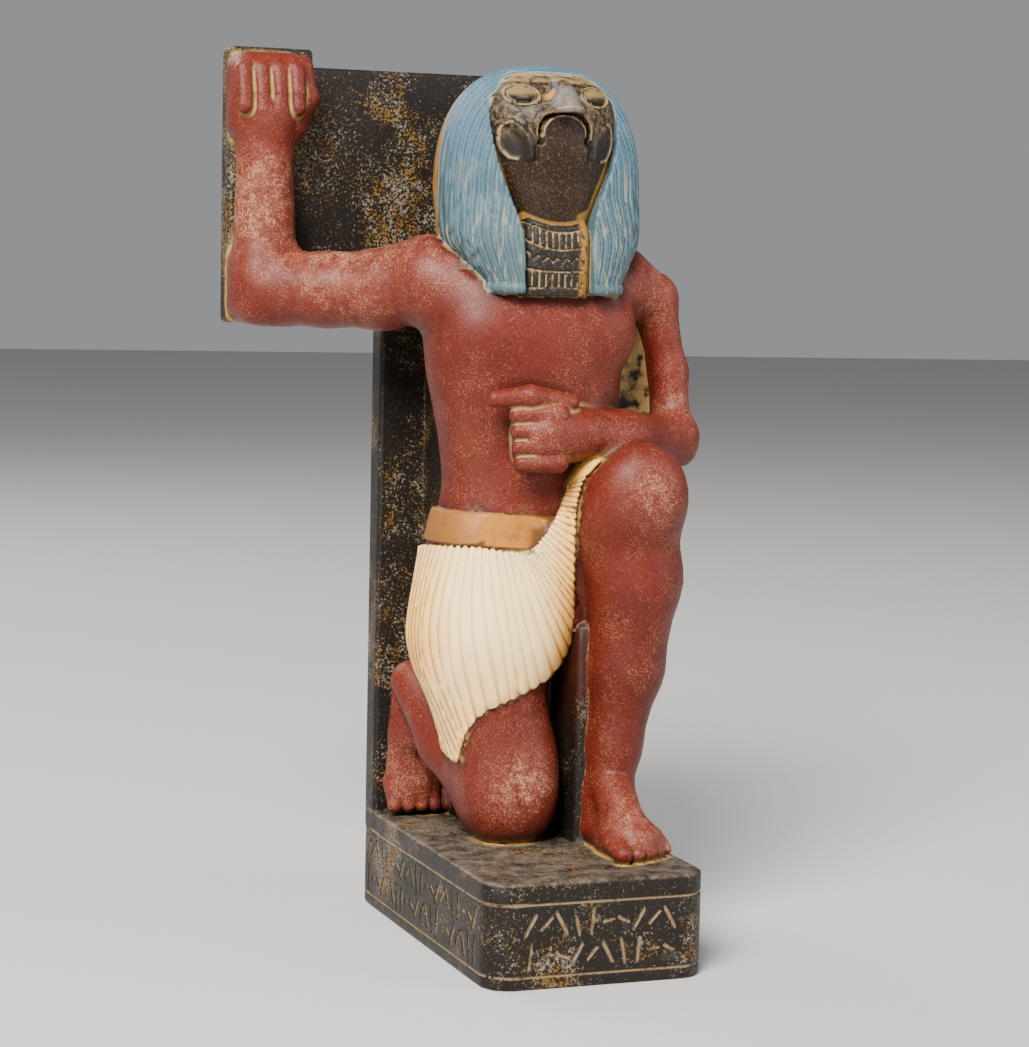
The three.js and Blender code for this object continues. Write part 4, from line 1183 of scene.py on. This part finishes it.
def skin_colour(paint):
    rubbed = 0
    for place, reach, share in RUBBED:
        rubbed = paint.most(rubbed, paint.times(paint.near(place, reach), share))
    rubbed = paint.times(rubbed, paint.patches(3.5, 0.3, 0.62, 5, 0.7, shift=31))
    cloud = paint.patches(10, 0.40, 0.62, 4, 0.65, shift=3)
    grain = paint.noise(0.55, 3, 0.75, shift=7)
    speckle = paint.rise(paint.add(grain, paint.times(rubbed, 0.08), paint.times(cloud, 0.08)), 0.58, 0.665)
    crease = paint.mark("crease")
    filled = paint.times(paint.rise(crease, 0.45, 0.9), paint.patches(2, 0.4, 0.6, shift=45))
    fists = paint.most(*(paint.near(place, FIST_REACH) for place in FISTS))
    outlined = paint.times(fists, paint.rise(crease, 0.15, 0.45), 1.6)
    return paint.over(
        paint.mix(paint.noise(16, 4, 0.6), (0.31, 0.075, 0.04), (0.45, 0.15, 0.095)),
        (paint.near(SHIN, 52), 0.7, (0.30, 0.08, 0.035)),
        (paint.patches(1.3, 0.50, 0.68, 4, 0.7, shift=21), 0.5, (0.22, 0.05, 0.03)),
        (rubbed, 0.5, (0.66, 0.40, 0.33)),
        (speckle, paint.add(0.5, paint.times(rubbed, 0.45)), paint.mix(rubbed, (0.62, 0.37, 0.26), DUST)),
        # painted shade: the skin is darkened in hollows
        (paint.rise(paint.mark("hollow_shade"), 0.25, 0.9), 0.5, (0.20, 0.06, 0.03)),
        # painted shade: the skin is darkened in creases
        (paint.rise(crease, 0.2, 0.6), 0.6, (0.18, 0.06, 0.03)),
        (filled, 0.7, PALE_OCHRE),
        (paint.math("MINIMUM", outlined, 0.75), 1, PALE_OCHRE),
        (paint.fall(paint.mark("to_stone"), 0.4, 1.6), paint.patches(2.5, 0.3, 0.6, shift=9), OCHRE),
    )


def stone_ground(paint):
    dense = paint.most(*(paint.near(place, reach) for place, reach in DUSTY_PANEL))
    dense = paint.most(paint.patches(20, 0.42, 0.66, 4, 0.6, shift=5), paint.times(dense, 0.9))
    grain = paint.noise(0.7, 4, 0.75, shift=11)
    speckle = paint.rise(paint.add(grain, paint.times(dense, 0.13)), 0.59, 0.71)
    tint = paint.mix(paint.patches(5, 0.4, 0.6, shift=17), OCHRE, (0.58, 0.53, 0.44))
    return paint.over(paint.mix(paint.noise(9, 4), BLACK, SOOT), (speckle, 0.8, tint))


def stone_colour(paint):
    height = paint.axis(2)
    top = paint.times(paint.rise(height, BASE_HEIGHT - 1.1, BASE_HEIGHT - 0.2),
                      paint.fall(height, BASE_HEIGHT + 0.3, BASE_HEIGHT + 0.9))
    worn = paint.patches(6, 0.36, 0.66, 6, 0.85, shift=13)
    edge = paint.rise(paint.mark("crest"), 0.12, 0.45)
    cut = paint.rise(paint.most(paint.mark("cut_line"), paint.mark("cut_stroke")), 0.25, 0.7)
    chalk = paint.patches(2, 0.3, 0.5, 4, 0.7, shift=19)
    return paint.over(
        stone_ground(paint),
        (paint.times(top, worn), 0.75, (0.48, 0.43, 0.37)),
        (paint.times(edge, worn), 0.6, (0.40, 0.35, 0.28)),
        (paint.times(cut, chalk), 0.8, (0.55, 0.46, 0.33)),
        (paint.fall(paint.mark("to_figure"), 0.5, 2), paint.patches(3, 0.3, 0.55, shift=23), PALE_OCHRE),
    )


# A groove's share, 1 in its middle, from a mark that counts grooves.
def groove_share(paint, name):
    wave = paint.math("SINE", paint.times(paint.mark(name), np.pi))
    return paint.less(paint.math("ABSOLUTE", wave))


def wig_colour(paint):
    across, depth, height = paint.axis(0), paint.axis(1), paint.axis(2)
    streak = paint.rise(paint.noise(1.4, 4, 0.6, stretch=(1, 1, 0.12), shift=2), 0.52, 0.64)
    faint = paint.fall(height, 195, 236)
    ledge = paint.times(paint.rise(depth, 3, 5), paint.fall(height, 222, 240), paint.fall(across, -20, -10))
    return paint.over(
        paint.mix(paint.noise(7, 3), (0.24, 0.37, 0.44), (0.33, 0.46, 0.54)),
        (paint.fall(height, 185, 235), 0.55, (0.30, 0.36, 0.34)),
        (paint.rise(groove_share(paint, "strand"), 0.35, 0.85), 0.5, (0.13, 0.20, 0.20)),
        (streak, paint.add(0.1, paint.times(faint, 0.45)), (0.62, 0.61, 0.49)),
        (ledge, paint.patches(3, 0.3, 0.5, shift=27), OCHRE),
        (paint.fall(paint.mark("zone_wig"), 0.1, 0.5), 0.7, (0.66, 0.63, 0.50)),
    )


def kilt_colour(paint):
    across, depth, height = paint.axis(0), paint.axis(1), paint.axis(2)
    sides = paint.most(paint.rise(across, -6, 7), paint.fall(across, -36, -25))
    edge = paint.most(paint.times(paint.fall(height, 58, 92), 0.6), sides)
    drawn = paint.times(paint.add(0.3, paint.times(edge, 0.6)), paint.fall(depth, 12, 22))
    return paint.over(
        paint.mix(paint.noise(10, 3), (1.0, 0.92, 0.72), (1.0, 0.83, 0.52)),
        (edge, 0.75, (0.95, 0.66, 0.20)),
        (paint.rise(groove_share(paint, "pleat"), 0.35, 0.95), drawn, (0.68, 0.42, 0.12)),
        (paint.fall(paint.mark("zone_kilt"), 0.1, 0.6), 0.5, (0.62, 0.36, 0.20)),
    )


def belt_colour(paint):
    return paint.over(
        paint.mix(paint.noise(5, 3), (0.76, 0.50, 0.18), (0.66, 0.41, 0.13)),
        (paint.patches(2.2, 0.48, 0.64, 5, 0.75, shift=55), 0.45, (0.50, 0.29, 0.10)),
        (paint.fall(paint.axis(0), -29, -16), 0.6, (0.46, 0.28, 0.17)),
        # painted shade: the belt is darkened in its creases and along its edges
        (paint.rise(paint.mark("crease"), 0.25, 0.7), 0.8, (0.26, 0.15, 0.09)),
    )


BEAK = (-0.3, -21, 234)
YELLOW_SPOT = (-4.6, -15, 236.5)


def beak_colour(paint, blotch):
    tone = paint.mix(paint.noise(3, 3, shift=47), (0.52, 0.46, 0.36), (0.40, 0.40, 0.44))
    return paint.over(tone, (blotch, 0.5, (0.16, 0.14, 0.12)))


def throat_colour(paint):
    tone = paint.mix(paint.noise(3, 3, shift=35), (0.07, 0.04, 0.02), (0.15, 0.085, 0.03))
    return paint.over(tone, (paint.patches(0.6, 0.53, 0.62, 4, 0.75, shift=37), 0.6, (0.42, 0.29, 0.10)))


def face_colour(paint):
    across, height = paint.axis(0), paint.axis(2)
    blotch = paint.patches(1.7, 0.44, 0.60, 5, 0.8, shift=33)
    # Painted highlight: the upper half of the eye is ochre, the lower half dark.
    eye_highlight = paint.mix(paint.rise(height, 235, 236.6), (0.13, 0.10, 0.075), (0.56, 0.46, 0.28))
    brow = paint.times(paint.rise(height, 239.2, 240), paint.patches(2.4, 0.35, 0.55, shift=49))
    drawn = paint.times(paint.rise(paint.mark("drawn"), 0.35, 0.75), paint.patches(1.6, 0.3, 0.5, shift=39))
    to_edge = paint.mark("zone_face")
    right = paint.times(paint.rise(across, 4, 6), paint.fall(to_edge, 2, 3))
    neck_rim = paint.most(paint.fall(to_edge, 0.8, 1.4), right)
    return paint.over(
        paint.mix(paint.noise(4, 3), (0.07, 0.055, 0.045), (0.15, 0.115, 0.085)),
        (paint.times(paint.rise(height, 221, 230), blotch), 0.75, (0.47, 0.39, 0.27)),
        (paint.rise(paint.mark("eye"), 0.75, 0.95), 0.85, eye_highlight),
        (paint.rise(paint.near(BEAK, 8), 0.15, 0.6), 0.9, beak_colour(paint, blotch)),
        (brow, 0.75, (0.60, 0.49, 0.30)),
        (paint.rise(paint.near(YELLOW_SPOT, 3), 0.1, 0.5), 1, (0.68, 0.50, 0.22)),
        (paint.rise(paint.mark("mouth"), 0.9, 1.6), paint.rise(height, 196, 206), throat_colour(paint)),
        (drawn, 0.8, (0.64, 0.55, 0.38)),
        (neck_rim, paint.fall(height, 214, 224), OCHRE),
    )


def collar_colour(paint):
    cut = paint.rise(paint.mark("collar_cut"), 0.3, 0.75)
    return paint.over(
        paint.mix(paint.noise(3, 3), (0.06, 0.055, 0.05), (0.14, 0.12, 0.11)),
        (paint.patches(0.7, 0.54, 0.68, 4, 0.75, shift=51), 0.6, (0.48, 0.40, 0.26)),
        (paint.times(cut, paint.patches(1.3, 0.32, 0.55, shift=41)), 0.9, (0.66, 0.56, 0.38)),
        (paint.rise(paint.axis(0), 4.2, 6), paint.patches(1.6, 0.3, 0.5, 4, shift=53), (0.60, 0.43, 0.18)),
    )


def web_colour(paint):
    across, height = paint.axis(0), paint.axis(2)
    beside_arm = paint.times(paint.rise(across, 19, 22), paint.rise(height, 130, 140))
    above_legs = paint.times(paint.rise(height, 52, 80), paint.fall(height, 130, 140),
                             paint.rise(across, 4, 8))
    return paint.over(
        stone_ground(paint),
        (paint.times(beside_arm, paint.patches(4, 0.38, 0.55, 4, shift=43)), 0.9, PALE_OCHRE),
        (above_legs, 0.85, (0.22, 0.08, 0.04)),
    )


ZONE_COLOURS = {
    "web": web_colour,
    "skin": skin_colour,
    "kilt": kilt_colour,
    "belt": belt_colour,
    "wig": wig_colour,
    "face": face_colour,
    "collar": collar_colour,
}

# All paint but the kilt's cream is a little dimmed, so that the light can be as bright as the kilt needs.
DIMMED = (0.9163, 0.9163, 0.9163)


def statue_material():
    paint = Paint("painted_cast_stone")
    colour = paint.mix(1, stone_colour(paint), DIMMED, "MULTIPLY")
    wobble = paint.times(paint.math("SUBTRACT", paint.noise(1.2, 2), 0.5), 0.5)
    for name, make in ZONE_COLOURS.items():
        share = paint.rise(paint.add(paint.mark("zone_" + name), wobble), -0.12, 0.12)
        layer = make(paint)
        if name != "kilt":
            layer = paint.mix(1, layer, DIMMED, "MULTIPLY")
        colour = paint.mix(share, colour, layer)
    roughness = paint.add(0.34, paint.times(paint.noise(3, 3), 0.25))
    return paint.finish(colour, roughness, paint.noise(0.5, 4, 0.6), 0.12)


# Studio.
def floor():
    mesh = bpy.data.meshes.new("floor")
    reach = 6
    mesh.from_pydata([(-reach, -reach, 0), (reach, -reach, 0), (reach, reach, 0), (-reach, reach, 0)],
                     [], [(0, 1, 2, 3)])
    piece = bpy.data.objects.new("floor", mesh)
    bpy.context.collection.objects.link(piece)
    paint = Paint("pale_floor")
    grain = paint.noise(3, 3)
    tone = paint.mix(grain, (0.72, 0.71, 0.70), (0.75, 0.74, 0.73))
    mesh.materials.append(paint.finish(tone, 0.8, grain, 0.05))


def camera():
    azimuth, elevation, roll = np.radians([CAMERA_AZIMUTH, CAMERA_ELEVATION, CAMERA_ROLL])
    level = np.cos(elevation)
    back = Vector((np.sin(azimuth) * level, -np.cos(azimuth) * level, np.sin(elevation)))
    right = Vector((np.cos(azimuth), np.sin(azimuth), 0))
    up = back.cross(right)
    side = right * np.cos(roll) + up * np.sin(roll)
    top = -right * np.sin(roll) + up * np.cos(roll)
    data = bpy.data.cameras.new("camera")
    data.sensor_width = SENSOR
    data.lens = SENSOR * CAMERA_FOCUS / PHOTO_HEIGHT
    data.clip_start = 0.01
    eye = bpy.data.objects.new("camera", data)
    bpy.context.collection.objects.link(eye)
    spot = (Vector(CAMERA_TARGET) + back * CAMERA_DISTANCE) * MILLIMETRE
    turn = Matrix((side, top, back)).transposed().to_4x4()
    eye.matrix_world = Matrix.Translation(spot) @ turn
    bpy.context.scene.camera = eye


def lamp(name, place, target, size, power, tint=(1, 1, 1)):
    data = bpy.data.lights.new(name, "AREA")
    data.shape = "DISK"
    data.size = size
    data.energy = power
    data.color = tint
    light = bpy.data.objects.new(name, data)
    bpy.context.collection.objects.link(light)
    light.location = place
    light.rotation_euler = (Vector(target) - Vector(place)).to_track_quat("-Z", "Y").to_euler()


def studio():
    lamp("key", (-0.9, -1.1, 1.3), (0, 0, 0.12), 0.9, 104, (1, 0.97, 0.92))
    lamp("fill", (1.3, -1.0, 0.7), (0, 0, 0.12), 1.2, 20, (0.97, 0.98, 1))
    lamp("rim", (-0.6, 1.2, 1.1), (0, 0, 0.15), 0.8, 16)
    world = bpy.data.worlds.new("studio")
    world.use_nodes = True
    world.node_tree.nodes["Background"].inputs["Color"].default_value = (0.55, 0.56, 0.58, 1)
    world.node_tree.nodes["Background"].inputs["Strength"].default_value = 0.55
    bpy.context.scene.world = world


PHOTO_HEIGHT = 1047
SENSOR = 36
CAMERA_FOCUS = 2670
CAMERA_AZIMUTH = -20.6
CAMERA_ELEVATION = 5.1
CAMERA_ROLL = 1.2
CAMERA_DISTANCE = 746
CAMERA_TARGET = (-6.2, 0, 118)

piece = make_statue()
piece.data.materials.clear()
piece.data.materials.append(statue_material())
floor()
camera()
studio()
